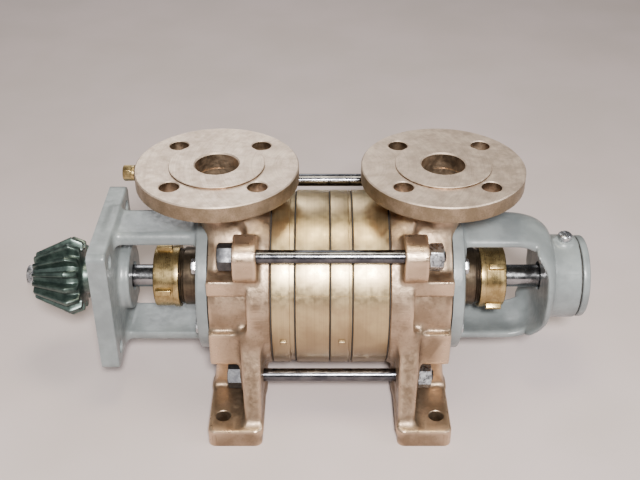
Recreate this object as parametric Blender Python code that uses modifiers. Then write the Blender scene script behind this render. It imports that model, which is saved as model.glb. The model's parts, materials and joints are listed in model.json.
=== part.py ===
"""Two-stage side-channel bilge pump, driven through a bevel pinion.

Sizes are in millimetres and mm() turns them into Blender's metres. Every part is
placed in the pump's own frame, which the empty pump_axis carries: X runs along
the shaft from the drive end to the non-drive end, Y away from the front, Z up,
and its origin is on the shaft axis, halfway between the two casings.
"""

from math import cos, pi, radians, sin

import bmesh
import bpy
from mathutils import Matrix, Vector

# Placing of the pump's frame in the world
AXIS_HEIGHT = 112.0
OVERALL_MIDDLE_X = -24.5

# Joint planes between the stacked rings, and the joint's make-up
JOINTS = (-54.0, -32.0, 0.0, 20.5, 54.0)
GASKET_THICKNESS = 0.8
JOINT_GAP = 0.3
JOINT_HALF = GASKET_THICKNESS / 2 + JOINT_GAP
TOUCH = 0.3  # gap between parts that bear on each other

# Stage rings
RING_RADIUS = 84.0
IMPELLER_RADIUS = 75.0
IMPELLER_WIDTH = 13.0
IMPELLER_STARTS = (JOINTS[1] - 0.1, JOINTS[3] + 0.1)
CAVITY_RADIUS = 75.8
CAVITY_DEPTH = 13.5
CHANNEL_RADIUS = 60.0
CHANNEL_SECTION = 8.0
VANES = 24
VANE_THICKNESS = 3.4
IMPELLER_HUB = 46.0

# Casings, in distance from the middle of the pump
CASING_INNER = JOINTS[-1] + JOINT_HALF
DRUM_STEP = 76.0
STEP_RADIUS = 73.0
END_RADIUS = 71.0
CASING_OUTER = 112.7
SPIGOT_OUTER = 116.5
SPIGOT_RADIUS = 36.0
CHAMBER_INNER_RADIUS = 34.0
CHAMBER_OUTER_RADIUS = 66.0
CHAMBER_END = 98.0
PORT_X = 103.4
PORT_BORE = 20.0
FLANGE_RADIUS = 75.0
FLANGE_BOTTOM = 107.0
FLANGE_RIM = 123.0
FLANGE_FACE = 125.0
PLUG_Z = (FLANGE_BOTTOM + FLANGE_RIM) / 2
FACE_RADIUS = 44.0
FLANGE_PCD = 110.0
FLANGE_HOLE = 9.0
PORT_NECK_RADIUS = 31.0
FOOT_INNER, FOOT_OUTER = 63.5, 114.3
FOOT_HALF_LENGTH = 120.0
FOOT_THICKNESS = 18.0
FOOT_HOLE = 7.0
FOOT_HOLE_X, FOOT_HOLE_Y = 101.0, 98.0
WEB_INNER, WEB_OUTER = 64.0, 80.0
LEDGE_TOP, LEDGE_BOTTOM, LEDGE_FRONT = -12.0, -48.0, 78.5
WALL_OUTER_FACE, WALL_INNER_FACE = 54.0, 42.0

# Tie bolts
TIE_OFFSET = 68.5
TIE_RADIUS = 6.25
LUG_INNER = 65.7
LUG_OUTER = {1: 86.5, -1: 83.5}  # upper and lower lugs
LUG_ROOT, LUG_REACH = 46.0, 83.0
LUG_CORNER = 14.5
TIE_NUT_FLATS = 22.0
TIE_NUT_HEIGHT = 13.5

# Stuffing boxes, glands
NECK_RADIUS = 28.5
NECK_SHOULDER = 140.0
THREAD_RADIUS = 27.0
NECK_END = 153.0
PACKING_BORE = 17.0
PACKING_START = 111.0
PACKING_RINGS = 4
PACKING_SECTION = 6.0
FOLLOWER_NOSE = 139.0
FOLLOWER_FLANGE = 157.0
GLAND_INNER, GLAND_OUTER = 144.5, 169.0
GLAND_RADIUS = 30.5
GLAND_RIB = 3.4
GLAND_WALL = 6.0

# Shaft
SHAFT_RADIUS = 11.0
SHAFT_MIDDLE_RADIUS = 12.0
BEARING_SEAT = 10.0
PINION_SEAT = 9.0
TIP_RADIUS = 6.0

# Ball bearings, 20 x 52 x 15
BEARING_OUTER = 26.0
BEARING_WIDTH = 15.0
BALL_RADIUS = 4.76
BALL_PITCH = 18.0
BALLS = 7
DRIVE_BEARING_X = -207.0
FREE_BEARING_X = 220.5

# Brackets
BRACKET_FLANGE_RADIUS = 70.0
BRACKET_FLANGE_INNER, BRACKET_FLANGE_OUTER = 113.0, 123.5
BRACKET_BORE = 36.5
BOLT_OFFSET = 35.0
PLATE_OUTER, PLATE_INNER = -218.5, -201.5
PLATE_HALF = 65.5
PLATE_HOLE_OFFSET = 49.0
ARM_HALF_WIDTH = 25.0
ARM_OUTER, ARM_INNER = 63.0, 51.0
BELL_HALF_WIDTH = 28.0
BELL_RADIUS, BELL_INNER_RADIUS = 63.0, 54.0
BELL_SHOULDER, BELL_WAIST_X = 171.0, 212.0
BELL_HUB_RADIUS = 40.5
BELL_HUB_END = 238.0
CAP_INNER, CAP_OUTER = 239.4, 246.5
GREASE_X = 225.0
GREASE_BOSS_TOP, GREASE_SCREW_TOP = 42.5, 49.0
COVER_RECESS_RADIUS, COVER_BOSS_RADIUS = 34.0, 23.5
COVER_SCREW_CIRCLE, CAP_SCREW_CIRCLE = 29.0, 32.5
SCREW_ANGLES = (45, 165, 285)

# Bevel pinion
TEETH = 15
PINION_SMALL_X, PINION_LARGE_X, PINION_BACK_X = -286.0, -251.0, -240.0
PINION_HUB_END = -229.5

FINE, RACE, MEDIUM, COARSE, SMALL = 32, 24, 16, 10, 8
FACET_PHASE = 2.5  # degrees that a cutter's facets are turned, to miss the body's edges

CORNERS = {
    "upper_front": (-1, 1),
    "upper_rear": (1, 1),
    "lower_front": (-1, -1),
    "lower_rear": (1, -1),
}


def screw_places(circle):
    """The (y, z) places of a cover's screws on a circle of that radius."""
    return [(circle * cos(radians(a)), circle * sin(radians(a))) for a in SCREW_ANGLES]


def mm(value):
    """Millimetres to metres, for a number or a point."""
    if isinstance(value, (int, float)):
        return value * 0.001
    return Vector(value) * 0.001


# ---------------------------------------------------------------- the scene

for old in list(bpy.data.objects):
    bpy.data.objects.remove(old)

parts = bpy.data.collections.new("bilge_pump")
cutters = bpy.data.collections.new("cutters")
bpy.context.scene.collection.children.link(parts)
bpy.context.scene.collection.children.link(cutters)

pump_axis = bpy.data.objects.new("pump_axis", None)
pump_axis.location = mm((-OVERALL_MIDDLE_X, 0, AXIS_HEIGHT))
parts.objects.link(pump_axis)


def material(name, colour, metallic, roughness):
    made = bpy.data.materials.new(name)
    made.use_nodes = True
    shader = made.node_tree.nodes["Principled BSDF"]
    shader.inputs["Base Color"].default_value = (*colour, 1)
    shader.inputs["Metallic"].default_value = metallic
    shader.inputs["Roughness"].default_value = roughness
    return made


BRONZE = material("cast_bronze", (0.44, 0.31, 0.22), 0.8, 0.5)
RING_BRONZE = material("turned_bronze", (0.52, 0.38, 0.22), 0.9, 0.35)
BRASS = material("brass", (0.60, 0.45, 0.20), 0.9, 0.35)
PAINT = material("grey_paint", (0.38, 0.41, 0.43), 0.0, 0.45)
STEEL = material("bright_steel", (0.60, 0.60, 0.62), 1.0, 0.25)
DARK_STEEL = material("black_steel", (0.06, 0.06, 0.07), 0.8, 0.45)
PINION_STEEL = material("oiled_pinion_steel", (0.02, 0.04, 0.03), 0.6, 0.4)
RUBBER = material("black_rubber", (0.02, 0.02, 0.02), 0.0, 0.7)
PAPER = material("gasket_paper", (0.05, 0.04, 0.03), 0.0, 0.9)
PACKING = material("graphite_packing", (0.10, 0.09, 0.07), 0.0, 0.8)


# ------------------------------------------------------------ shape builders

def own(obj, name, surface, collection=parts):
    """Names an object, gives it a material and hangs it on the pump's frame."""
    obj.name = name
    obj.data.name = name
    obj.data.materials.clear()
    obj.data.materials.append(surface)
    for holder in list(obj.users_collection):
        holder.objects.unlink(obj)
    collection.objects.link(obj)
    obj.parent = pump_axis
    if collection is cutters:
        obj.hide_render = True
        obj.display_type = "WIRE"
    if obj.type == "MESH":
        obj.data.shade_smooth()
        obj.data.set_sharp_from_angle(angle=radians(35))
    return obj


def helper(obj, name="helper"):
    return own(obj, name, BRONZE, cutters)


def scaled_into_mesh(obj):
    obj.data.transform(Matrix.Diagonal((*obj.scale, 1)))
    obj.scale = (1, 1, 1)


def box(low, high):
    low, high = Vector(low), Vector(high)
    bpy.ops.mesh.primitive_cube_add(size=1, location=mm((low + high) / 2))
    obj = bpy.context.object
    obj.scale = mm(high - low)
    scaled_into_mesh(obj)
    return obj


TURN = {"X": (0, radians(90), 0), "Y": (radians(-90), 0, 0), "Z": (0, 0, 0)}


def rod(radius, start, end, segments=COARSE, along="X"):
    """A cylinder between two points that differ in one axis only."""
    start, end = Vector(start), Vector(end)
    bpy.ops.mesh.primitive_cylinder_add(
        vertices=segments,
        radius=mm(radius),
        depth=mm((end - start).length),
        location=mm((start + end) / 2),
        rotation=TURN[along],
    )
    obj = bpy.context.object
    if segments > 6:
        obj.data.transform(Matrix.Rotation(radians(FACET_PHASE), 4, "Z"))
    return obj


def hexagon(across_flats, start, end, along="X"):
    return rod(across_flats / 2 / cos(pi / 6), start, end, 6, along)


def turned(profile, segments=FINE, phase=0.0):
    """A body of revolution about the shaft axis, from a closed or axis-to-axis (x, r) profile.

    A phase, in degrees, turns its facets, so that a cutter's edges miss the body's.
    """
    closed = min(r for _, r in profile) > 0
    points = list(profile)
    loop = points + ([points[0]] if closed else [])
    area = sum(a[0] * b[1] - b[0] * a[1] for a, b in zip(loop, loop[1:]))
    if area < 0:
        points.reverse()
    mesh = bpy.data.meshes.new("turned")
    made = bmesh.new()
    corners = [made.verts.new(mm((r, 0, x))) for x, r in points]
    for a, b in zip(corners, corners[1:] + (corners[:1] if closed else [])):
        if a is not b and (closed or b is not corners[0]):
            made.edges.new((a, b))
    made.to_mesh(mesh)
    made.free()
    obj = bpy.data.objects.new("turned", mesh)
    bpy.context.scene.collection.objects.link(obj)
    obj.rotation_euler = (Matrix.Rotation(radians(phase), 3, "X")
                          @ Matrix.Rotation(radians(90), 3, "Y")).to_euler()
    screw = obj.modifiers.new("turn", "SCREW")
    screw.steps = screw.render_steps = segments
    screw.use_merge_vertices = True
    screw.merge_threshold = 0.00001
    return obj


def as_mesh(obj):
    """Replaces a curve by the mesh it makes, with its caps welded on."""
    bpy.context.view_layer.update()
    graph = bpy.context.evaluated_depsgraph_get()
    mesh = bpy.data.meshes.new_from_object(obj.evaluated_get(graph))
    welded = bmesh.new()
    welded.from_mesh(mesh)
    bmesh.ops.remove_doubles(welded, verts=welded.verts, dist=0.000005)
    bmesh.ops.recalc_face_normals(welded, faces=welded.faces)
    welded.to_mesh(mesh)
    welded.free()
    made = bpy.data.objects.new(obj.name, mesh)
    made.matrix_world = obj.matrix_world.copy()
    bpy.context.scene.collection.objects.link(made)
    bpy.data.objects.remove(obj)
    return made


def plate(outlines, middle, thickness, along="X"):
    """A flat plate from closed 2D outlines (the first is the rim, the rest are holes).

    Along X an outline point is (y, z), along Y it is (x, z), along Z it is (x, y).
    """
    curve = bpy.data.curves.new("plate", "CURVE")
    curve.dimensions = "2D"
    curve.fill_mode = "BOTH"
    curve.extrude = mm(thickness / 2)
    for outline in outlines:
        spline = curve.splines.new("POLY")
        spline.points.add(len(outline) - 1)
        for point, (a, b) in zip(spline.points, outline):
            point.co = (mm(a), mm(b), 0, 1)
        spline.use_cyclic_u = True
    obj = bpy.data.objects.new("plate", curve)
    bpy.context.scene.collection.objects.link(obj)
    frames = {
        "X": Matrix(((0, 0, 1), (1, 0, 0), (0, 1, 0))),
        "Y": Matrix(((1, 0, 0), (0, 0, -1), (0, 1, 0))),
        "Z": Matrix.Identity(3),
    }
    obj.matrix_world = Matrix.Translation(mm(middle)) @ frames[along].to_4x4()
    return as_mesh(obj)


def tube(points, radius, resolution=4):
    """A round bar along a line of points, with closed ends."""
    curve = bpy.data.curves.new("tube", "CURVE")
    curve.dimensions = "3D"
    curve.bevel_depth = mm(radius)
    curve.bevel_resolution = resolution
    curve.use_fill_caps = True
    spline = curve.splines.new("POLY")
    spline.points.add(len(points) - 1)
    for point, place in zip(spline.points, points):
        point.co = (*mm(place), 1)
    obj = bpy.data.objects.new("tube", curve)
    bpy.context.scene.collection.objects.link(obj)
    return as_mesh(obj)


def arc(centre, radius, first, last, steps):
    """Points on an arc, with angles in degrees."""
    for i in range(steps + 1):
        angle = radians(first + (last - first) * i / steps)
        yield centre[0] + radius * cos(angle), centre[1] + radius * sin(angle)


def combine(obj, others, operation):
    for other in others:
        helper(other)
        step = obj.modifiers.new(operation.lower(), "BOOLEAN")
        step.operation = operation
        step.object = other
    return obj


def fuse(obj, *others):
    return combine(obj, others, "UNION")


def cut(obj, *others):
    return combine(obj, others, "DIFFERENCE")


def span(side, near, far):
    """The X of two distances from the pump's middle on one side, in rising order."""
    return sorted((side * near, side * far))


# ------------------------------------------------------------------- casings

def lug(side, y_side, z_side):
    """A tie-bolt lug: a square block whose outer corner follows the bolt."""
    rim = [(LUG_ROOT, LUG_ROOT), (LUG_REACH, LUG_ROOT)]
    centre = (LUG_REACH - LUG_CORNER, LUG_REACH - LUG_CORNER)
    rim += arc(centre, LUG_CORNER, 0, 90, 4)
    rim += [(LUG_ROOT, LUG_REACH)]
    outline = [(y_side * y, z_side * z) for y, z in rim]
    outer = LUG_OUTER[z_side]
    return plate([outline], (side * (LUG_INNER + outer) / 2, 0, 0), outer - LUG_INNER)


def leg_web(side):
    """The upright web over the foot, its edges slanting out to the base."""
    foot_top = FOOT_THICKNESS - AXIS_HEIGHT - 2
    outline = [(-80, -15), (-110, foot_top), (110, foot_top), (80, -15)]
    middle = side * (WEB_INNER + WEB_OUTER) / 2
    return plate([outline], (middle, 0, 0), WEB_OUTER - WEB_INNER)


def foot(side):
    """The base plate, its outer corners rounded in plan."""
    corner = 10.0
    inner, outer, half = FOOT_INNER, FOOT_OUTER, FOOT_HALF_LENGTH
    rim = [(inner, -half)]
    rim += arc((outer - corner, -half + corner), corner, -90, 0, 4)
    rim += arc((outer - corner, half - corner), corner, 0, 90, 4)
    rim += [(inner, half)]
    outline = [(side * x, y) for x, y in rim]
    return plate([outline], (0, 0, FOOT_THICKNESS / 2 - AXIS_HEIGHT), FOOT_THICKNESS, "Z")


def cross_wall(side, front):
    """The wall under the ledge that stiffens the leg, wider at the foot."""
    foot_top = FOOT_THICKNESS - AXIS_HEIGHT - 2
    rim = [(WEB_INNER + 2, LEDGE_BOTTOM + 5), (WEB_INNER + 2, foot_top)]
    rim += [(FOOT_OUTER - 1, foot_top), (107.0, LEDGE_BOTTOM + 5)]
    outline = [(side * x, z) for x, z in rim]
    middle = front * (WALL_OUTER_FACE + WALL_INNER_FACE) / 2
    return plate([outline], (0, middle, 0), WALL_OUTER_FACE - WALL_INNER_FACE, "Y")


def casing_drum(side):
    """The round body of a casing with its stuffing-box neck."""
    rim = [
        (CASING_INNER, 5), (CASING_INNER, RING_RADIUS), (DRUM_STEP, RING_RADIUS),
        (DRUM_STEP, STEP_RADIUS), (106, STEP_RADIUS), (CASING_OUTER, END_RADIUS),
        (CASING_OUTER, SPIGOT_RADIUS), (SPIGOT_OUTER, SPIGOT_RADIUS),
        (SPIGOT_OUTER, NECK_RADIUS), (NECK_SHOULDER, NECK_RADIUS),
        (NECK_SHOULDER, THREAD_RADIUS), (NECK_END, THREAD_RADIUS), (NECK_END, 5),
    ]
    return turned([(side * x, r) for x, r in rim])


def shaft_passage(side):
    """The bore from the stage side to the neck's mouth: running bore, bush, packing room."""
    rim = [
        (CASING_INNER - 2, 0), (CASING_INNER - 2, 12.4), (100, 12.4), (100, 11.3),
        (PACKING_START, 11.3), (PACKING_START, PACKING_BORE),
        (NECK_END + 2, PACKING_BORE), (NECK_END + 2, 0),
    ]
    return turned([(side * x, r) for x, r in rim], RACE, FACET_PHASE)


def casing(name, side):
    neck_clearance = [(0, BRACKET_FLANGE_RADIUS + 1.5), (20, BRACKET_FLANGE_RADIUS + 1.5),
                      (20, 40), (0, 40)]
    obj = casing_drum(side)
    neck = tube([(side * 84, 0, 52), (side * PORT_X, 0, FLANGE_BOTTOM + 4)], PORT_NECK_RADIUS, 4)
    cut(neck, turned([(side * (CASING_OUTER + x), r) for x, r in neck_clearance], FINE, FACET_PHASE))
    fuse(obj, neck)
    fuse(obj, rod(FLANGE_RADIUS, (side * PORT_X, 0, FLANGE_BOTTOM),
                  (side * PORT_X, 0, FLANGE_RIM), FINE, "Z"))
    fuse(obj, rod(FACE_RADIUS, (side * PORT_X, 0, FLANGE_RIM - 3),
                  (side * PORT_X, 0, FLANGE_FACE), MEDIUM, "Z"))
    fuse(obj, leg_web(side), foot(side), cross_wall(side, 1), cross_wall(side, -1))
    for y_side, z_side in CORNERS.values():
        fuse(obj, lug(side, y_side, z_side))
    for y_side in (-1, 1):
        x_low, x_high = span(side, WEB_INNER + 1, CASING_OUTER - 0.2)
        y_low, y_high = sorted((y_side * 40, y_side * LEDGE_FRONT))
        fuse(obj, box((x_low, y_low, LEDGE_BOTTOM), (x_high, y_high, LEDGE_TOP)))
    pad = span(side, LUG_INNER + 10, CASING_OUTER - 0.4)
    fuse(obj, box((pad[0], -74, 28), (pad[1], -60, 44)))

    chamber = [(CASING_INNER - 1, CHAMBER_INNER_RADIUS), (CASING_INNER - 1, CHAMBER_OUTER_RADIUS),
               (CHAMBER_END, CHAMBER_OUTER_RADIUS), (CHAMBER_END, CHAMBER_INNER_RADIUS)]
    cut(obj, turned([(side * x, r) for x, r in chamber], MEDIUM, FACET_PHASE))
    cut(obj, shaft_passage(side))
    cut(obj, tube([(side * 82, 0, 50), (side * PORT_X, 0, PLUG_Z)], PORT_BORE - 0.6, 3))
    cut(obj, rod(PORT_BORE, (side * PORT_X, 0, FLANGE_BOTTOM + 2), (side * PORT_X, 0, FLANGE_FACE + 3),
                 MEDIUM, "Z"))
    reach = FLANGE_PCD / 2 * sin(pi / 4)
    for y_side, z_side in CORNERS.values():
        y, z = y_side * TIE_OFFSET, z_side * TIE_OFFSET
        cut(obj, rod(TIE_RADIUS + 0.8, (side * (WEB_INNER - 3), y, z),
                     (side * (LUG_OUTER[z_side] + 3), y, z), COARSE))
        y, z = y_side * BOLT_OFFSET, z_side * BOLT_OFFSET
        cut(obj, rod(4.3, (side * 102, y, z), (side * (CASING_OUTER + 2), y, z), SMALL))
        x, y = side * PORT_X + z_side * reach, y_side * reach
        cut(obj, rod(FLANGE_HOLE, (x, y, FLANGE_BOTTOM - 3), (x, y, FLANGE_RIM + 3), COARSE, "Z"))
    for y_side in (-1, 1):
        place = (side * FOOT_HOLE_X, y_side * FOOT_HOLE_Y)
        cut(obj, rod(FOOT_HOLE, (*place, -AXIS_HEIGHT - 3),
                     (*place, FOOT_THICKNESS - AXIS_HEIGHT + 3), COARSE, "Z"))
    if side < 0:
        rim_x = -PORT_X - FLANGE_RADIUS
        cut(obj, rod(4.3, (rim_x - 2, 0, PLUG_Z), (rim_x + 12, 0, PLUG_Z), 12))
    own(obj, name, BRONZE)


def priming_plug():
    """The hexagon plug in the rim of the suction flange."""
    rim_x = -PORT_X - FLANGE_RADIUS
    collar = rod(7.2, (rim_x - 4, 0, PLUG_Z), (rim_x - 0.6, 0, PLUG_Z), COARSE)
    fuse(collar, hexagon(13, (rim_x - 11, 0, PLUG_Z), (rim_x - 3.5, 0, PLUG_Z)))
    fuse(collar, rod(4.0, (rim_x - 1, 0, PLUG_Z), (rim_x + 11, 0, PLUG_Z), 12))
    own(collar, "priming_plug", BRASS)


# --------------------------------------------------------------- stage rings

def suction_disc(name, low, high, groove):
    """A narrow ring with the inlet port of its stage; groove is its shallow outer band."""
    band_low, band_high, band_radius = groove
    start, end = low + JOINT_HALF, high - JOINT_HALF
    rim = [(start, 12.5), (start, RING_RADIUS), (band_low, RING_RADIUS), (band_low, band_radius)]
    if band_high < end:
        rim += [(band_high, band_radius), (band_high, RING_RADIUS), (end, RING_RADIUS)]
    else:
        rim += [(end, band_radius)]
    rim += [(end, 12.5)]
    obj = turned(rim)
    port = list(arc((0, 0), 48, 60, 120, 4)) + list(arc((0, 0), 36, 120, 60, 4))
    cut(obj, plate([port], ((low + high) / 2, 0, 0), high - low + 6))
    own(obj, name, RING_BRONZE)


def stage_casing(name, low, high):
    """A wide ring with the wheel's cavity, the side channel and the stage's outlet port."""
    start, end = low + JOINT_HALF, high - JOINT_HALF
    floor = start + CAVITY_DEPTH
    rim = [(start, CAVITY_RADIUS), (start, RING_RADIUS), (end, RING_RADIUS), (end, 12.5),
           (floor, 12.5), (floor, CAVITY_RADIUS)]
    obj = turned(rim)
    path = [(floor, *point) for point in arc((0, 0), CHANNEL_RADIUS, 100, 420, 18)]
    cut(obj, tube(path, CHANNEL_SECTION, 1))
    port = list(arc((0, 0), 50, 66, 84, 4)) + list(arc((0, 0), 38, 84, 66, 4))
    cut(obj, plate([port], ((floor + end) / 2, 0, 0), end - floor + 4))
    own(obj, name, RING_BRONZE)


def gasket(name, x):
    half = GASKET_THICKNESS / 2
    inner, outer = 77.5, RING_RADIUS - 0.7
    rim = [(x - half, inner), (x - half, outer), (x + half, outer), (x + half, inner)]
    own(turned(rim, MEDIUM), name, PAPER)


def impeller(name, low):
    """A vane wheel: a hub with free radial vanes and a keyed bore."""
    half_angle = VANE_THICKNESS / 2
    rim = []
    for i in range(VANES):
        turn = 2 * pi * i / VANES
        along = Vector((cos(turn), sin(turn)))
        across = Vector((-sin(turn), cos(turn))) * half_angle
        root, tip = along * IMPELLER_HUB, along * IMPELLER_RADIUS
        rim += [tuple(p) for p in (root - across, tip - across, tip + across, root + across)]
    bore = list(arc((0, 0), 12.4, 108, 432, 12))
    key_top = 15.3
    bore += [(4.2, key_top), (-4.2, key_top)]
    middle = low + IMPELLER_WIDTH / 2
    own(plate([rim, bore], (middle, 0, 0), IMPELLER_WIDTH), name, BRONZE)


# --------------------------------------------------------------- tie bolts

def tie_bolt(name, y, z, lug_face):
    """A long bolt with its head at the suction lug and its thread at the discharge lug."""
    head = -lug_face - TOUCH
    obj = rod(TIE_RADIUS, (head - 3, y, z), (lug_face + TIE_NUT_HEIGHT + 2, y, z), 16)
    fuse(obj, hexagon(TIE_NUT_FLATS, (head - TIE_NUT_HEIGHT, y, z), (head, y, z)))
    own(obj, name, DARK_STEEL)


def nut(name, flats, bore, low, high, y, z, surface, segments=16):
    obj = hexagon(flats, (low, y, z), (high, y, z))
    cut(obj, rod(bore, (low - 2, y, z), (high + 2, y, z), segments))
    own(obj, name, surface)


def bracket_bolt(name, side, y, z):
    head = BRACKET_FLANGE_OUTER + TOUCH
    obj = hexagon(13, (side * head, y, z), (side * (head + 5.5), y, z))
    fuse(obj, rod(3.9, (side * 103, y, z), (side * (head + 1), y, z), 12))
    own(obj, name, STEEL)


# --------------------------------------------------------- stuffing boxes

def packing_set(name, side):
    """Braided rings pressed into one sleeve, with a groove where they meet."""
    start = PACKING_START + TOUCH
    outer, groove = PACKING_BORE - 0.3, PACKING_BORE - 1.0
    rim = [(start, SHAFT_RADIUS + 0.35)]
    for i in range(PACKING_RINGS):
        x = start + i * PACKING_SECTION
        rim += [(x, groove), (x + PACKING_SECTION / 2, outer)]
    end = start + PACKING_RINGS * PACKING_SECTION
    rim += [(end, groove), (end, SHAFT_RADIUS + 0.35)]
    own(turned([(side * x, r) for x, r in rim], RACE), name, PACKING)


def gland_follower(name, side):
    bore = SHAFT_RADIUS + 0.4
    face = GLAND_OUTER - GLAND_WALL - TOUCH
    rim = [(FOLLOWER_NOSE, bore), (FOLLOWER_NOSE, PACKING_BORE - 0.4),
           (FOLLOWER_FLANGE, PACKING_BORE - 0.4), (FOLLOWER_FLANGE, 24), (face, 24), (face, bore)]
    own(turned([(side * x, r) for x, r in rim], MEDIUM), name, BRASS)


def gland_nut(name, side, first_rib):
    """A screwed cap over the neck, with ribs for the gland key."""
    wall = GLAND_OUTER - GLAND_WALL
    rim = [(GLAND_INNER, THREAD_RADIUS + 0.4), (GLAND_INNER, GLAND_RADIUS),
           (GLAND_OUTER - 2, GLAND_RADIUS), (GLAND_OUTER, GLAND_RADIUS - 2),
           (GLAND_OUTER, 13.5), (wall, 13.5), (wall, THREAD_RADIUS + 0.4)]
    obj = turned([(side * x, r) for x, r in rim], 28)
    for i in range(4):
        angle = radians(first_rib + 90 * i)
        low, high = span(side, GLAND_INNER + 4, GLAND_OUTER - 2.5)
        rib = box((low, -3, GLAND_RADIUS - 1.5), (high, 3, GLAND_RADIUS + GLAND_RIB))
        rib.data.transform(Matrix.Translation(rib.location))
        rib.location = (0, 0, 0)
        rib.rotation_euler = (angle - pi / 2, 0, 0)
        fuse(obj, rib)
    own(obj, name, BRASS)


# ------------------------------------------------------------------ bearings

def raceway(x, edge):
    """Corners of a ball groove, from low to high x; edge is the ring's plain radius."""
    sign = 1 if edge > BALL_PITCH else -1
    floor = BALL_PITCH + sign * (BALL_RADIUS + 0.55)
    mouth_half, floor_half = BALL_RADIUS * 0.82, BALL_RADIUS * 0.55
    return [(x - mouth_half, edge), (x - floor_half, floor),
            (x + floor_half, floor), (x + mouth_half, edge)]


def bearing(prefix, x):
    low, high = x - BEARING_WIDTH / 2, x + BEARING_WIDTH / 2
    outer, inner = BEARING_OUTER - TOUCH, BEARING_SEAT + TOUCH
    rim = [(low, 21.4), (low, outer), (high, outer), (high, 21.4)]
    rim += reversed(raceway(x, 21.4))
    own(turned(rim, RACE), prefix + "_outer_ring", STEEL)
    rim = [(high, 14.6), (high, inner), (low, inner), (low, 14.6)]
    rim += raceway(x, 14.6)
    own(turned(rim, RACE), prefix + "_inner_ring", STEEL)
    cage = turned([(x - 3, 17.0), (x - 3, 19.0), (x + 3, 19.0), (x + 3, 17.0)], 14)
    for i in range(BALLS):
        angle = 2 * pi * i / BALLS
        place = (x, BALL_PITCH * cos(angle), BALL_PITCH * sin(angle))
        bpy.ops.mesh.primitive_ico_sphere_add(
            subdivisions=1, radius=mm(BALL_RADIUS), location=mm(place))
        fuse(cage, bpy.context.object)
    own(cage, prefix + "_cage", STEEL)


def ring(name, x_low, x_high, r_low, r_high, surface, segments=MEDIUM):
    rim = [(x_low, r_low), (x_low, r_high), (x_high, r_high), (x_high, r_low)]
    own(turned(rim, segments), name, surface)


# ------------------------------------------------------------------ brackets

def bracket_flange_holes(obj, side):
    for y_side, z_side in CORNERS.values():
        y, z = y_side * BOLT_OFFSET, z_side * BOLT_OFFSET
        cut(obj, rod(4.5, (side * (BRACKET_FLANGE_INNER - 3), y, z),
                     (side * (BRACKET_FLANGE_OUTER + 3), y, z), SMALL))


def drive_end_bracket():
    """Square mounting plate with a bearing hub, two flat arms and the casing flange."""
    low, high = -BRACKET_FLANGE_OUTER, -BRACKET_FLANGE_INNER
    obj = turned([(low, BRACKET_BORE), (low, BRACKET_FLANGE_RADIUS),
                  (high, BRACKET_FLANGE_RADIUS), (high, BRACKET_BORE)])
    corner, half = 7.0, PLATE_HALF
    outline = []
    for y_side, z_side, first in ((1, 1, 0), (-1, 1, 90), (-1, -1, 180), (1, -1, 270)):
        centre = (y_side * (half - corner), z_side * (half - corner))
        outline += arc(centre, corner, first, first + 90, 3)
    thickness = PLATE_INNER - PLATE_OUTER
    fuse(obj, plate([outline], ((PLATE_OUTER + PLATE_INNER) / 2, 0, 0), thickness))
    for z_side in (-1, 1):
        z_low, z_high = sorted((z_side * ARM_INNER, z_side * ARM_OUTER))
        fuse(obj, box((PLATE_INNER - 3, -ARM_HALF_WIDTH, z_low),
                      (low + 3, ARM_HALF_WIDTH, z_high)))
    fuse(obj, rod(32, (PLATE_INNER - 3, 0, 0), (-191, 0, 0), MEDIUM))
    seat = DRIVE_BEARING_X + BEARING_WIDTH / 2 + TOUCH
    recess = DRIVE_BEARING_X - BEARING_WIDTH / 2
    cut(obj, turned([(PLATE_OUTER - 2, 0), (PLATE_OUTER - 2, COVER_RECESS_RADIUS),
                     (recess, COVER_RECESS_RADIUS), (recess, BEARING_OUTER), (seat, BEARING_OUTER),
                     (seat, 14), (-188, 14), (-188, 0)], RACE, FACET_PHASE))
    for y_side, z_side in CORNERS.values():
        y, z = y_side * PLATE_HOLE_OFFSET, z_side * PLATE_HOLE_OFFSET
        cut(obj, rod(6.5, (PLATE_OUTER - 3, y, z), (PLATE_INNER + 3, y, z), 16))
    for y, z in screw_places(COVER_SCREW_CIRCLE):
        cut(obj, rod(2.4, (PLATE_OUTER - 3, y, z), (PLATE_OUTER + 11, y, z), 8))
    bracket_flange_holes(obj, -1)
    own(obj, "drive_end_bracket", PAINT)


def bell_profile():
    """The bell's wall from the flange to the hub, outside first."""
    start = BRACKET_FLANGE_OUTER - 3
    waist, floor, drop = 42.0, 33.0, 21.0
    shoulder, floor_x = BELL_SHOULDER, 203.0
    outside = [(start, BELL_RADIUS), (shoulder, BELL_RADIUS)]
    outside += [(shoulder + (BELL_WAIST_X - shoulder) * sin(a), waist + drop * cos(a))
                for a in (pi / 6, pi / 3)]
    outside += [(BELL_WAIST_X, waist), (BELL_WAIST_X + 2, BELL_HUB_RADIUS),
                (BELL_HUB_END, BELL_HUB_RADIUS)]
    inside = [(BELL_HUB_END, 8), (floor_x, 8), (floor_x, floor)]
    inside += [(shoulder + (floor_x - shoulder) * sin(a), floor + drop * cos(a))
               for a in (pi / 3, pi / 6)]
    inside += [(shoulder, BELL_INNER_RADIUS), (start, BELL_INNER_RADIUS)]
    return outside + inside


def window_outline(half_height, end, corner):
    start = BRACKET_FLANGE_OUTER + 0.01
    rim = [(start, half_height)]
    rim += reversed(list(arc((end - corner, half_height - corner), corner, 0, 90, 2)))
    rim += reversed(list(arc((end - corner, corner - half_height), corner, -90, 0, 2)))
    return rim + [(start, -half_height)]


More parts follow.
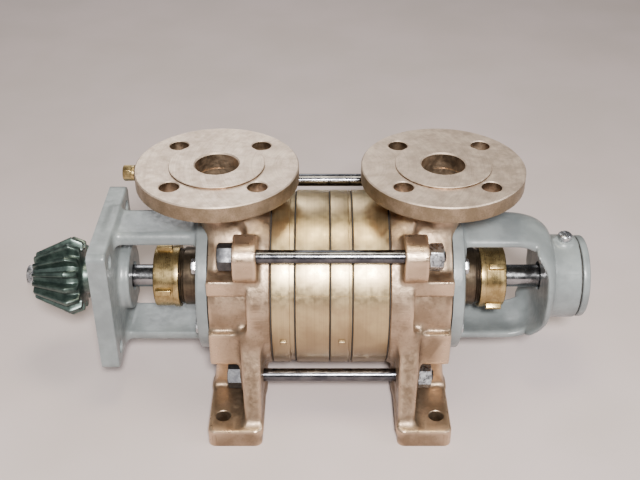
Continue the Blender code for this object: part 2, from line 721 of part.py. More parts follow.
def non_drive_end_bracket():
    """Bell-shaped lantern with two windows, the bearing hub and the casing flange."""
    obj = turned(bell_profile())
    low, high = BRACKET_FLANGE_INNER, BRACKET_FLANGE_OUTER
    fuse(obj, turned([(low, BRACKET_BORE), (low, BRACKET_FLANGE_RADIUS),
                      (high, BRACKET_FLANGE_RADIUS), (high, BRACKET_BORE)]))
    fuse(obj, rod(9, (GREASE_X, 0, 30), (GREASE_X, 0, GREASE_BOSS_TOP), 16, "Z"))
    for y_side in (-1, 1):
        middle = (0, y_side * (BELL_HALF_WIDTH + 30), 0)
        cut(obj, plate([window_outline(75, 192, 10)], middle, 60, "Y"))
    cut(obj, plate([window_outline(49, 203, 28)], (0, 0, 0), 150, "Y"))
    seat = FREE_BEARING_X - BEARING_WIDTH / 2 - TOUCH
    cut(obj, turned([(BELL_HUB_END + 2, 0), (BELL_HUB_END + 2, BEARING_OUTER),
                     (seat, BEARING_OUTER), (seat, 14), (200, 14), (200, 0)],
                    RACE, FACET_PHASE))
    cut(obj, rod(3.3, (GREASE_X, 0, 24), (GREASE_X, 0, GREASE_BOSS_TOP + 2), 12, "Z"))
    for y, z in screw_places(CAP_SCREW_CIRCLE):
        cut(obj, rod(2.4, (BELL_HUB_END - 9, y, z), (BELL_HUB_END + 3, y, z), 8))
    bracket_flange_holes(obj, 1)
    own(obj, "non_drive_end_bracket", PAINT)


def grease_screw():
    seat, top = GREASE_BOSS_TOP + TOUCH, GREASE_SCREW_TOP
    obj = rod(6.75, (GREASE_X, 0, seat), (GREASE_X, 0, top), 16, "Z")
    fuse(obj, rod(3.0, (GREASE_X, 0, 29), (GREASE_X, 0, seat + 1), 12, "Z"))
    cut(obj, box((GREASE_X - 0.9, -8, top - 2), (GREASE_X + 0.9, 8, top + 2)))
    own(obj, "grease_screw", STEEL)


def bearing_end_cover():
    """The blind cover of the non-drive bearing, with its register in the bore."""
    outer = BELL_HUB_RADIUS - 0.8
    obj = turned([(CAP_OUTER, 0), (CAP_OUTER, outer - 2), (CAP_OUTER - 2, outer),
                  (CAP_INNER, outer), (CAP_INNER, 25.6), (234, 25.6), (234, 21), (CAP_INNER, 21),
                  (CAP_INNER, 0)], MEDIUM)
    for y, z in screw_places(CAP_SCREW_CIRCLE):
        cut(obj, rod(2.4, (CAP_INNER - 2, y, z), (CAP_OUTER + 2, y, z), 8))
    own(obj, "bearing_end_cover", PAINT)


def end_cover_gasket():
    x_low, x_high = BELL_HUB_END + TOUCH, CAP_INNER - TOUCH
    obj = turned([(x_low, 27), (x_low, BELL_HUB_RADIUS - 1.2),
                  (x_high, BELL_HUB_RADIUS - 1.2), (x_high, 27)], MEDIUM)
    for y, z in screw_places(CAP_SCREW_CIRCLE):
        cut(obj, rod(2.4, (x_low - 2, y, z), (x_high + 2, y, z), 8))
    own(obj, "end_cover_gasket", PAPER)


def drive_bearing_cover():
    """The cover of the drive bearing, sunk flush in the plate, its boss holding the lip seal."""
    face, back = PLATE_OUTER + 0.2, DRIVE_BEARING_X - BEARING_WIDTH / 2 - TOUCH
    boss_end, radius = PLATE_OUTER - 8, COVER_RECESS_RADIUS - 0.8
    obj = turned([(boss_end, 15), (boss_end, COVER_BOSS_RADIUS), (face, COVER_BOSS_RADIUS),
                  (face, radius), (back, radius), (back, 22), (-217.5, 22), (-217.5, 18.4),
                  (-224.5, 18.4), (-224.5, 15)], MEDIUM)
    for y, z in screw_places(COVER_SCREW_CIRCLE):
        cut(obj, rod(2.4, (face - 2, y, z), (back + 2, y, z), 8))
    own(obj, "drive_bearing_cover", DARK_STEEL)


# --------------------------------------------------------------------- rotor

def shaft():
    obj = turned([
        (-295.5, 0), (-295.5, TIP_RADIUS), (-284, TIP_RADIUS), (-284, PINION_SEAT),
        (-229, PINION_SEAT), (-229, BEARING_SEAT), (-199.4, BEARING_SEAT),
        (-199.4, SHAFT_RADIUS), (-64, SHAFT_RADIUS), (-64, SHAFT_MIDDLE_RADIUS),
        (64, SHAFT_MIDDLE_RADIUS), (64, SHAFT_RADIUS), (212.9, SHAFT_RADIUS),
        (212.9, BEARING_SEAT), (228.6, BEARING_SEAT), (228.6, 9.3), (230.2, 9.3),
        (230.2, BEARING_SEAT), (232, BEARING_SEAT), (232, 0),
    ], MEDIUM)
    for low in IMPELLER_STARTS:
        cut(obj, box((low, -4.1, 7.9), (low + IMPELLER_WIDTH, 4.1, 14)))
    cut(obj, box((-272, -3.1, 5.9), (-240, 3.1, 11)))
    own(obj, "shaft", STEEL)


def impeller_key(name, low):
    own(box((low + 0.3, -3.8, 8.2), (low + IMPELLER_WIDTH - 0.3, 3.8, 15.0)), name, STEEL)


def pinion_key():
    own(box((-271.7, -2.8, 6.2), (-240.3, 2.8, 11.2)), "pinion_key", STEEL)


def tooth_ring(x, tip, root, made):
    """One section of the bevel teeth: four corners a tooth, straight flanks."""
    corners = []
    for i in range(TEETH):
        for share, radius in ((-0.30, root), (-0.13, tip), (0.13, tip), (0.30, root)):
            angle = 2 * pi * (i + share) / TEETH
            corners.append(made.verts.new(mm((x, radius * cos(angle), radius * sin(angle)))))
    return corners


def bevel_pinion():
    """Straight-toothed bevel pinion, its small end towards the shaft's tip."""
    mesh = bpy.data.meshes.new("bevel_pinion")
    made = bmesh.new()
    sections = [
        tooth_ring(PINION_SMALL_X, 23.5, 17.5, made),
        tooth_ring(PINION_LARGE_X, 38.5, 29.0, made),
        tooth_ring(PINION_BACK_X, 34.0, 26.5, made),
    ]
    for first, second in zip(sections, sections[1:]):
        for i, corner in enumerate(first):
            j = (i + 1) % len(first)
            made.faces.new((corner, first[j], second[j], second[i]))
    made.faces.new(sections[0])
    made.faces.new(list(reversed(sections[-1])))
    bmesh.ops.recalc_face_normals(made, faces=made.faces)
    made.to_mesh(mesh)
    made.free()
    obj = bpy.data.objects.new("bevel_pinion", mesh)
    bpy.context.scene.collection.objects.link(obj)
    fuse(obj, rod(17, (PINION_BACK_X - 2, 0, 0), (PINION_HUB_END, 0, 0), MEDIUM))
    cut(obj, rod(PINION_SEAT + 0.3, (PINION_SMALL_X - 3, 0, 0), (PINION_HUB_END + 3, 0, 0), 24))
    cut(obj, box((PINION_SMALL_X - 3, -3.1, 4), (PINION_HUB_END + 3, 3.1, 11.5)))
    own(obj, "bevel_pinion", PINION_STEEL)


# ------------------------------------------------------------------ assembly

casing("suction_casing", -1)
casing("discharge_casing", 1)
suction_disc("stage1_suction_disc", JOINTS[0], JOINTS[1], (-37.0, -32.0, 82.0))
stage_casing("stage1_casing", JOINTS[1], JOINTS[2])
suction_disc("stage2_suction_disc", JOINTS[2], JOINTS[3], (17.6, 18.9, 82.6))
stage_casing("stage2_casing", JOINTS[3], JOINTS[4])
for number, joint_x in enumerate(JOINTS, 1):
    gasket(f"joint_gasket_{number}", joint_x)

for corner_name, (y_sign, z_sign) in CORNERS.items():
    tie_y, tie_z, lug_face = y_sign * TIE_OFFSET, z_sign * TIE_OFFSET, LUG_OUTER[z_sign]
    tie_bolt(f"tie_bolt_{corner_name}", tie_y, tie_z, lug_face)
    nut(f"tie_nut_{corner_name}", TIE_NUT_FLATS, TIE_RADIUS + 0.3, lug_face + TOUCH,
        lug_face + TIE_NUT_HEIGHT, tie_y, tie_z, STEEL)
    for end_name, end_side in (("drive", -1), ("free", 1)):
        bracket_bolt(f"{end_name}_bracket_bolt_{corner_name}", end_side,
                     y_sign * BOLT_OFFSET, z_sign * BOLT_OFFSET)

drive_end_bracket()
non_drive_end_bracket()
priming_plug()
grease_screw()
bearing_end_cover()
end_cover_gasket()
drive_bearing_cover()
ring("drive_end_seal", -224.2, -217.8, 14.2, 18.1, RUBBER)

packing_set("drive_end_packing", -1)
packing_set("free_end_packing", 1)
gland_follower("drive_gland_follower", -1)
gland_follower("free_gland_follower", 1)
gland_nut("drive_gland_nut", -1, 176)
gland_nut("free_gland_nut", 1, 130)

bearing("drive_bearing", DRIVE_BEARING_X)
bearing("free_bearing", FREE_BEARING_X)

shaft()
for number, wheel_start in enumerate(IMPELLER_STARTS, 1):
    impeller(f"impeller_{number}", wheel_start)
    impeller_key(f"impeller_{number}_key", wheel_start)
bevel_pinion()
pinion_key()
ring("pinion_washer", PINION_SMALL_X - 2.3, PINION_SMALL_X - TOUCH, TIP_RADIUS + 0.3, 11,
     STEEL, 24)
nut("pinion_nut", 18, TIP_RADIUS + 0.3, PINION_SMALL_X - 9, PINION_SMALL_X - 2.6, 0, 0, STEEL)
ring("pinion_spacer", PINION_HUB_END + TOUCH, DRIVE_BEARING_X - BEARING_WIDTH / 2 - TOUCH,
     BEARING_SEAT + TOUCH, 13.8, STEEL, 24)
ring("bearing_retaining_ring", 228.8, 230.0, 9.6, 12.6, STEEL, 24)
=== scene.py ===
"""Looks of the two-stage side-channel bilge pump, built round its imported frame.

Shapes are in millimetres in the pump's own frame: X along the shaft from the drive
end to the free end, Y away from the front, Z up, and the origin on the shaft axis,
halfway between the two casings. A finished piece is scaled and moved into the
frame's metres. Castings are blended together as signed distances on a grid, as a
pattern maker fillets a pattern, and then machined with Booleans.
"""

import json
from math import cos, pi, radians, sin, tan

import bmesh
import bpy
import numpy as np
from mathutils import Matrix, Vector


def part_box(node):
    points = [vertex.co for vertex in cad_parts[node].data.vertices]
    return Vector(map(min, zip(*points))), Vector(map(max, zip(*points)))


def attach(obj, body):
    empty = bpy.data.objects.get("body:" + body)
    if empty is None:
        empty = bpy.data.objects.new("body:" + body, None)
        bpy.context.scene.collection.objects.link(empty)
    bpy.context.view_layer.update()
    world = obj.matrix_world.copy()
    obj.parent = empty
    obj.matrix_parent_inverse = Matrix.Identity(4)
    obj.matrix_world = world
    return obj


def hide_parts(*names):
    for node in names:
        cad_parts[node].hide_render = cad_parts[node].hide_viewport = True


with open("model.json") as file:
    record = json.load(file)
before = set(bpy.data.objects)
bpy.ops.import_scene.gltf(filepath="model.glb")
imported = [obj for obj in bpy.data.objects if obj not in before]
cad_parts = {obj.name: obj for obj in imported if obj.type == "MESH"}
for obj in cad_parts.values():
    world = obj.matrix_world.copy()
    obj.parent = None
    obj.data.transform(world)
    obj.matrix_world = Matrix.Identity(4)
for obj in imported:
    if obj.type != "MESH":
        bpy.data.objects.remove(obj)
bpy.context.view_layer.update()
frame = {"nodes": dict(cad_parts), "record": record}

BODY_OF = {node: body for body, nodes in frame["record"]["behaviour"]["bodies"].items()
           for node in nodes}
SLOT_OF = {part["node"]: part["material_slot"] for part in frame["record"]["subparts"]}

# The pump's frame, from the shaft and the faces of the two casings
shaft_low, shaft_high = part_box("shaft")
MIDDLE = (shaft_low + shaft_high) / 2
MIDDLE.x = (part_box("suction_casing")[1].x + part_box("discharge_casing")[0].x) / 2


def low_of(node):
    """A node's lowest corner in the pump's frame, in mm."""
    return (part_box(node)[0] - MIDDLE) * 1000


def high_of(node):
    """A node's highest corner in the pump's frame, in mm."""
    return (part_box(node)[1] - MIDDLE) * 1000


# ---------------------------------------------------------------- dimensions

# Casings, as distances from the middle of the pump
CASING_INNER = high_of("joint_gasket_5").x + 0.3
RING_RADIUS = high_of("stage1_casing").y
RING_BORE, CAVITY_RADIUS, CAVITY_DEPTH = 12.5, 75.8, 13.5
DRUM_STEP, STEP_RADIUS, END_RADIUS = 76.0, 73.0, 71.0
CASING_OUTER = 112.7
SPIGOT_OUTER, SPIGOT_RADIUS = 116.5, 36.0
NECK_SHOULDER, NECK_RADIUS = 140.0, 28.5
NECK_END, THREAD_RADIUS = 153.0, 27.0
THROAT, BUSH, PACKING_START, PACKING_BORE = 12.4, 11.3, 111.0, 17.0
CHAMBER_END = 98.0
CHAMBER_INNER_RADIUS, CHAMBER_OUTER_RADIUS = 34.0, 66.0
PORT_X, PORT_BORE, PORT_NECK_RADIUS = 103.4, 20.0, 31.0
FLANGE_RADIUS, FACE_RADIUS = 75.0, 44.0
FLANGE_FACE = high_of("discharge_casing").z
FLANGE_BOTTOM, FLANGE_RIM = FLANGE_FACE - 18.0, FLANGE_FACE - 2.0
FLANGE_PCD, FLANGE_HOLE = 110.0, 9.0
PLUG_Z = (FLANGE_BOTTOM + FLANGE_RIM) / 2
FOOT_INNER, FOOT_OUTER = 63.5, 114.3
FOOT_HALF_LENGTH = high_of("discharge_casing").y
BASE = low_of("discharge_casing").z
FOOT_TOP = BASE + 18.0
FOOT_HOLE, FOOT_HOLE_X, FOOT_HOLE_Y = 7.0, 101.0, 98.0
WEB_INNER = 64.0
LEDGE_TOP, LEDGE_BOTTOM, LEDGE_FRONT = -12.0, -48.0, 78.5
WALL_OUTER_FACE, WALL_INNER_FACE = 54.0, 42.0

# Tie bolts
TIE_OFFSET, TIE_RADIUS = 68.5, 6.25
LUG_INNER, LUG_CORNER, LUG_ROOT, LUG_REACH = 65.7, 14.5, 44.0, 83.0
LUG_OUTER = {1: low_of("tie_nut_upper_front").x - 0.3, -1: low_of("tie_nut_lower_front").x - 0.3}
TIE_FLATS, TIE_HEIGHT = 22.0, 13.5

# Brackets
BRACKET_INNER, BRACKET_OUTER, BRACKET_RADIUS = 113.0, 123.5, 70.0
BRACKET_BORE, BOLT_OFFSET = 36.5, 35.0
PLATE_OUTER, PLATE_INNER, PLATE_HALF = -218.5, -201.5, 65.5
PLATE_HOLE_OFFSET, PLATE_HOLE = 49.0, 6.5
ARM_OUTER, ARM_INNER, ARM_HALF = 63.0, 51.0, 25.0
HUB_RADIUS, HUB_END = 40.5, 238.0
BELL_HALF_WIDTH = 28.0
BEARING_SEAT = 26.0
GREASE_X = (low_of("grease_screw").x + high_of("grease_screw").x) / 2
GREASE_BOSS_TOP = high_of("grease_screw").z - 6.5
CAP_SCREW_RADIUS, COVER_SCREW_RADIUS = 32.5, 29.0
COVER_SCREW_ANGLES = (45, 165, 285)

# Glands
GLAND_INNER, GLAND_WALL, GLAND_OUTER, GLAND_RADIUS = 144.5, 163.0, 169.0, 30.5
GLAND_FIRST_RIB = {-1: 176, 1: 130}

# Bevel pinion
TEETH = 15
PINION_SMALL_X, PINION_LARGE_X, PINION_BACK_X, PINION_HUB_END = -286.0, -251.0, -240.0, -229.5

PITCH = 1.5  # mm between grid points of a casting
CORNERS = {"upper_front": (-1, 1), "upper_rear": (1, 1),
           "lower_front": (-1, -1), "lower_rear": (1, -1)}


# ------------------------------------------------------------ camera, light

def point_at(obj, target):
    direction = Vector(target) - obj.location
    obj.rotation_euler = direction.to_track_quat("-Z", "Y").to_euler()


def add_camera():
    camera = bpy.data.objects.new("camera", bpy.data.cameras.new("camera"))
    camera.location = (0.0153, -0.797, 0.675)
    camera.rotation_euler = (radians(56.8), 0, 0)
    camera.data.lens = 55.9
    camera.data.sensor_width = 36
    camera.data.clip_start = 0.05
    bpy.context.scene.collection.objects.link(camera)
    bpy.context.scene.camera = camera


def add_light(name, place, target, size, watts, colour):
    lamp = bpy.data.lights.new(name, "AREA")
    lamp.shape = "DISK"
    lamp.size = size
    lamp.energy = watts
    lamp.color = colour
    obj = bpy.data.objects.new(name, lamp)
    obj.location = place
    point_at(obj, target)
    bpy.context.scene.collection.objects.link(obj)


def add_studio():
    middle = (0, 0, 0.1)
    add_light("key", (0.10, -1.20, 1.10), middle, 0.20, 58, (1.0, 0.98, 0.95))
    add_light("above", (0.05, -0.05, 1.5), middle, 0.45, 9, (1.0, 0.90, 0.66))
    add_light("left", (-1.3, -0.6, 0.9), middle, 0.7, 1.5, (0.96, 0.98, 1.0))
    add_light("right", (1.4, -0.5, 1.0), middle, 0.7, 9, (0.96, 0.98, 1.0))
    add_light("back", (-0.3, 1.4, 1.3), middle, 0.9, 9, (1.0, 1.0, 1.0))
    world = bpy.data.worlds.new("studio")
    world.use_nodes = True
    background = world.node_tree.nodes["Background"]
    background.inputs["Color"].default_value = (0.80, 0.80, 0.82, 1)
    background.inputs["Strength"].default_value = 0.15
    bpy.context.scene.world = world


# ---------------------------------------------------------------- materials

class Surface:
    """A Principled material whose node graph is built up a call at a time."""

    def __init__(self, name, colour, metallic, roughness):
        self.material = bpy.data.materials.new(name)
        self.material.use_nodes = True
        self.tree = self.material.node_tree
        self.shader = self.tree.nodes["Principled BSDF"]
        self.set("Base Color", (*colour, 1))
        self.set("Metallic", metallic)
        self.set("Roughness", roughness)
        self.place = self.node("ShaderNodeTexCoord").outputs["Object"]
        self.normal = None

    def set(self, socket, value):
        self.shader.inputs[socket].default_value = value

    def node(self, kind, **settings):
        made = self.tree.nodes.new(kind)
        for key, value in settings.items():
            setattr(made, key, value)
        return made

    def feed(self, node, **values):
        """Links a node's inputs to sockets, or sets them to numbers; _ stands for a space."""
        for key, value in values.items():
            target = node.inputs[key.replace("_", " ")]
            if isinstance(value, bpy.types.NodeSocket):
                self.tree.links.new(value, target)
            else:
                target.default_value = value
        return node

    def noise(self, size, detail=3.0, rough=0.5, stretch=(1, 1, 1), source=None):
        """Noise whose features measure about size mm, times 1/stretch along each axis."""
        mapping = self.node("ShaderNodeMapping")
        mapping.inputs["Scale"].default_value = [1000 * s / size for s in stretch]
        self.tree.links.new(source or self.place, mapping.inputs["Vector"])
        node = self.node("ShaderNodeTexNoise")
        self.feed(node, Vector=mapping.outputs["Vector"], Scale=1.0, Detail=detail,
                  Roughness=rough)
        return node.outputs["Fac"]

    def ramp(self, value, low, high, start=0.0, end=1.0):
        """value mapped from low..high to start..end, clamped, with an eased slope."""
        node = self.node("ShaderNodeMapRange", interpolation_type="SMOOTHSTEP")
        self.feed(node, Value=value)
        for key, number in (("From Min", low), ("From Max", high),
                            ("To Min", start), ("To Max", end)):
            node.inputs[key].default_value = number
        return node.outputs["Result"]

    def maths(self, operation, a, b=0.0):
        node = self.node("ShaderNodeMath", operation=operation)
        for socket, value in zip(node.inputs, (a, b)):
            if isinstance(value, bpy.types.NodeSocket):
                self.tree.links.new(value, socket)
            else:
                socket.default_value = value
        return node.outputs[0]

    def mix(self, share, a, b):
        """Colour a where share is 0, b where it is 1."""
        node = self.node("ShaderNodeMix", data_type="RGBA")
        for socket, value in ((node.inputs[0], share), (node.inputs[6], a), (node.inputs[7], b)):
            if isinstance(value, bpy.types.NodeSocket):
                self.tree.links.new(value, socket)
            elif isinstance(value, (tuple, list)):
                socket.default_value = (*value, 1)
            else:
                socket.default_value = value
        return node.outputs[2]

    def height(self):
        """How far a point is above the shaft axis, in metres."""
        parts = self.node("ShaderNodeSeparateXYZ")
        self.tree.links.new(self.place, parts.inputs[0])
        return self.maths("SUBTRACT", parts.outputs[2], MIDDLE.z)

    def hollow(self):
        """How deep in a casting's corner a point lies: above 0 inside one, below on an edge."""
        return self.node("ShaderNodeAttribute", attribute_name="hollow").outputs["Fac"]

    def bump(self, height, depth, strength=1.0):
        """Adds relief: height 0..1 times depth mm."""
        node = self.node("ShaderNodeBump")
        self.feed(node, Height=height, Distance=depth * 0.001, Strength=strength)
        if self.normal is not None:
            self.tree.links.new(self.normal, node.inputs["Normal"])
        self.normal = node.outputs["Normal"]

    def done(self, colour, roughness=None):
        """Feeds the shader, and gives the finished material."""
        for socket, value in (("Base Color", colour), ("Roughness", roughness),
                              ("Normal", self.normal)):
            if value is not None:
                self.tree.links.new(value, self.shader.inputs[socket])
        return self.material

    def around(self, along="X"):
        """Coordinates of a lathe through the pump's middle: (along its axis, distance, 0)."""
        shifted = self.node("ShaderNodeVectorMath", operation="SUBTRACT")
        self.tree.links.new(self.place, shifted.inputs[0])
        shifted.inputs[1].default_value = MIDDLE
        parts = self.node("ShaderNodeSeparateXYZ")
        self.tree.links.new(shifted.outputs[0], parts.inputs[0])
        axis = "XYZ".index(along)
        one, two = [parts.outputs[i] for i in range(3) if i != axis]
        square = self.maths("ADD", self.maths("MULTIPLY", one, one),
                            self.maths("MULTIPLY", two, two))
        joined = self.node("ShaderNodeCombineXYZ")
        self.tree.links.new(parts.outputs[axis], joined.inputs[0])
        self.tree.links.new(self.maths("SQRT", square), joined.inputs[1])
        return joined.outputs[0]


def cast_bronze(name, light, dark, corner_shade_and_grime, sheen=0.42):
    """Sand-cast gunmetal, scrubbed bright on its edges; brown in its corners and darker towards its
    underside, as painted shade with some grime.
    """
    s = Surface(name, light, 0.92, sheen)
    tone = s.ramp(s.noise(26, 4, 0.6), 0.38, 0.66)
    colour = s.mix(tone, dark, light)
    mottle = s.ramp(s.noise(3.2, 5, 0.7), 0.50, 0.72, 0, 0.45)
    colour = s.mix(mottle, colour, [c * 0.55 for c in dark])
    # Painted shade with some grime: the corners turn dark brown, more so low down on the casting.
    hollow = s.hollow()
    patchy = s.maths("MULTIPLY", hollow, s.ramp(s.noise(9, 4, 0.7), 0.25, 0.7, 0.55, 1.35))
    patchy = s.maths("MULTIPLY", patchy, s.ramp(s.height(), -0.045, 0.025, 1.0, 0.4))
    colour = s.mix(s.ramp(patchy, 0.06, 0.36), colour, corner_shade_and_grime)
    # Painted shade: the casting's colour turns darker towards its bottom.
    colour = s.mix(s.ramp(s.height(), 0.035, -0.090, 0, 0.35), colour, [c * 0.6 for c in dark])
    worn = s.ramp(hollow, -0.10, -0.34, 0, 0.75)
    colour = s.mix(worn, colour, [min(1, c * 1.6) for c in light])
    s.bump(s.noise(1.3, 4, 0.65), 0.30, 0.55)
    s.bump(s.noise(7.5, 2, 0.5), 0.9, 0.35)
    rough = s.maths("ADD", s.ramp(s.noise(5, 4, 0.6), 0.3, 0.7, sheen - 0.10, sheen + 0.12),
                    s.maths("MULTIPLY", worn, -0.12))
    return s.done(colour, rough)


def turned_metal(name, light, dark, metallic, sheen, groove, along="X", mottle=0.35, depth=0.05):
    """Lathe-turned metal: fine grooves round its axis, and a little tarnish."""
    s = Surface(name, light, metallic, sheen)
    lathe_place = s.around(along)
    grooves = s.noise(groove, 3, 0.7, source=lathe_place)
    fine = s.noise(groove * 0.25, 2, 0.6, source=lathe_place)
    tone = s.ramp(s.noise(14, 4, 0.65), 0.35, 0.68)
    colour = s.mix(tone, dark, light)
    colour = s.mix(s.ramp(grooves, 0.42, 0.68, 0, mottle), colour, [c * 0.5 for c in dark])
    s.bump(grooves, depth, 0.6)
    s.bump(fine, depth * 0.4, 0.5)
    rough = s.ramp(s.maths("ADD", s.maths("MULTIPLY", fine, 0.5),
                           s.maths("MULTIPLY", s.noise(6, 4, 0.6), 0.5)),
                   0.35, 0.65, sheen - 0.08, sheen + 0.12)
    return s.done(colour, rough)


def ring_bronze():
    """The stage rings: turned, yellow where they are rubbed, with painted shade on their
    undersides.
    """
    light, dark = (0.62, 0.48, 0.27), (0.44, 0.325, 0.185)
    s = Surface("ring_bronze", light, 0.97, 0.34)
    colour = s.mix(s.ramp(s.noise(24, 4, 0.55), 0.34, 0.68), dark, light)
    grooves = s.noise(0.9, 3, 0.7, source=s.around())
    colour = s.mix(s.ramp(grooves, 0.40, 0.72, 0, 0.30), colour, (0.26, 0.185, 0.10))
    strokes = s.noise(1.6, 3, 0.6, stretch=(0.06, 1, 1))
    colour = s.mix(s.ramp(strokes, 0.60, 0.80, 0, 0.25), colour, (0.28, 0.195, 0.12))
    colour = s.mix(s.ramp(s.noise(2.4, 5, 0.7), 0.60, 0.78, 0, 0.12), colour, (0.28, 0.20, 0.13))
    # Painted shade: darker brown towards the bottom of each ring.
    colour = s.mix(s.ramp(s.height(), 0.030, -0.050, 0, 0.68), colour, (0.21, 0.15, 0.10))
    s.bump(grooves, 0.05, 0.5)
    s.bump(strokes, 0.035, 0.5)
    s.bump(s.noise(12, 2, 0.5), 0.3, 0.35)
    rough = s.ramp(s.noise(6, 4, 0.6), 0.3, 0.7, 0.30, 0.42)
    return s.done(colour, rough)


def grey_paint():
    """Grey enamel brushed over an iron casting, darkened in its corners with painted shade and
    soil.
    """
    light, dark = (0.195, 0.215, 0.218), (0.140, 0.155, 0.158)
    s = Surface("grey_enamel", light, 0.0, 0.36)
    s.set("Coat Weight", 0.25)
    s.set("Coat Roughness", 0.25)
    tone = s.ramp(s.noise(30, 4, 0.6), 0.36, 0.66)
    colour = s.mix(tone, dark, light)
    # Painted shade with soil: the corners turn darker.
    hollow = s.hollow()
    patchy = s.maths("MULTIPLY", hollow, s.ramp(s.noise(8, 4, 0.7), 0.25, 0.7, 0.5, 1.3))
    colour = s.mix(s.ramp(patchy, 0.10, 0.42, 0, 0.75), colour, (0.12, 0.12, 0.11))
    specks = s.ramp(s.noise(2.1, 4, 0.75), 0.66, 0.74, 0, 0.45)
    colour = s.mix(specks, colour, (0.16, 0.15, 0.13))
    s.bump(s.noise(2.6, 3, 0.55), 0.22, 0.55)
    s.bump(s.noise(11, 2, 0.5), 0.9, 0.4)
    rough = s.ramp(s.noise(6, 3, 0.6), 0.3, 0.7, 0.28, 0.46)
    return s.done(colour, rough)


def steel(name, light, dark, sheen, size=5.0, metallic=1.0, spots=0.3):
    """Forged or plated steel with faint tarnish."""
    s = Surface(name, light, metallic, sheen)
    tone = s.ramp(s.noise(size, 5, 0.65), 0.36, 0.66)
    colour = s.mix(tone, dark, light)
    colour = s.mix(s.ramp(s.noise(1.2, 4, 0.75), 0.60, 0.75, 0, spots), colour,
                   [c * 0.4 for c in dark])
    s.bump(s.noise(0.8, 3, 0.6), 0.05, 0.5)
    s.bump(s.noise(4, 2, 0.5), 0.15, 0.4)
    rough = s.ramp(s.noise(3, 4, 0.6), 0.3, 0.7, sheen - 0.06, sheen + 0.14)
    return s.done(colour, rough)


def pinion_steel():
    """Cut gear steel under dark oil, green-black, with lighter specks."""
    s = Surface("oiled_gear_steel", (0.030, 0.050, 0.042), 0.75, 0.30)
    s.set("Coat Weight", 0.6)
    s.set("Coat Roughness", 0.30)
    tone = s.ramp(s.noise(7, 5, 0.65), 0.36, 0.66)
    colour = s.mix(tone, (0.028, 0.046, 0.040), (0.075, 0.110, 0.094))
    colour = s.mix(s.ramp(s.noise(1.8, 4, 0.7), 0.58, 0.74, 0, 0.25), colour, (0.13, 0.15, 0.13))
    s.bump(s.noise(0.5, 3, 0.6, stretch=(1, 0.15, 0.15)), 0.05, 0.6)
    s.bump(s.noise(5, 3, 0.5), 0.15, 0.4)
    rough = s.ramp(s.noise(4, 4, 0.6), 0.3, 0.7, 0.30, 0.46)
    return s.done(colour, rough)


def soft_material(name, light, dark, roughness, size):
    """Rubber, paper or packing: matt, with a fine grain."""
    s = Surface(name, light, 0.0, roughness)
    colour = s.mix(s.ramp(s.noise(size, 4, 0.6), 0.35, 0.66), dark, light)
    s.bump(s.noise(size * 0.3, 4, 0.7), 0.12, 0.7)
    rough = s.ramp(s.noise(size * 0.6, 3, 0.6), 0.3, 0.7, roughness - 0.08, roughness + 0.08)
    return s.done(colour, rough)


def floor_paper():
    s = Surface("floor_paper", (0.51, 0.43, 0.415), 0.0, 0.75)
    patches = s.ramp(s.noise(160, 3, 0.5), 0.3, 0.7)
    colour = s.mix(patches, (0.49, 0.415, 0.395), (0.53, 0.445, 0.435))
    s.bump(s.noise(2.5, 3, 0.6), 0.1, 0.3)
    return s.done(colour)


# ------------------------------------------------------- distances on a grid

def smooth_min(a, b, blend):
    """The lower of two distances, rounded where they are within blend mm of each other."""
    if blend <= 0:
        return np.minimum(a, b)
    near = np.maximum(blend - np.abs(a - b), 0) / blend
    return np.minimum(a, b) - near * near * (blend / 4)


def circle(u, v, radius, centre=(0, 0)):
    return np.hypot(u - centre[0], v - centre[1]) - radius


def rectangle(u, v, low, high, corner=0.0):
    a = np.abs(u - (low[0] + high[0]) / 2) - (high[0] - low[0]) / 2 + corner
    b = np.abs(v - (low[1] + high[1]) / 2) - (high[1] - low[1]) / 2 + corner
    outside = np.hypot(np.maximum(a, 0), np.maximum(b, 0))
    return outside + np.minimum(np.maximum(a, b), 0) - corner


def convex(u, v, outline, blend=0.0):
    """Distance to a convex outline given anticlockwise, its corners rounded by a blend."""
    result = None
    for (u0, v0), (u1, v1) in zip(outline, outline[1:] + outline[:1]):
        length = ((u1 - u0) ** 2 + (v1 - v0) ** 2) ** 0.5
        side = ((u - u0) * (v1 - v0) - (v - v0) * (u1 - u0)) / length
        result = side if result is None else -smooth_min(-result, -side, blend)
    return result


def extruded(flat, w, low, high, edge=0.0):
    """A flat shape's distance made solid between two heights, its edges rounded."""
    a = flat + edge
    b = np.abs(w - (low + high) / 2) - (high - low) / 2 + edge
    outside = np.hypot(np.maximum(a, 0), np.maximum(b, 0))
    return outside + np.minimum(np.maximum(a, b), 0) - edge


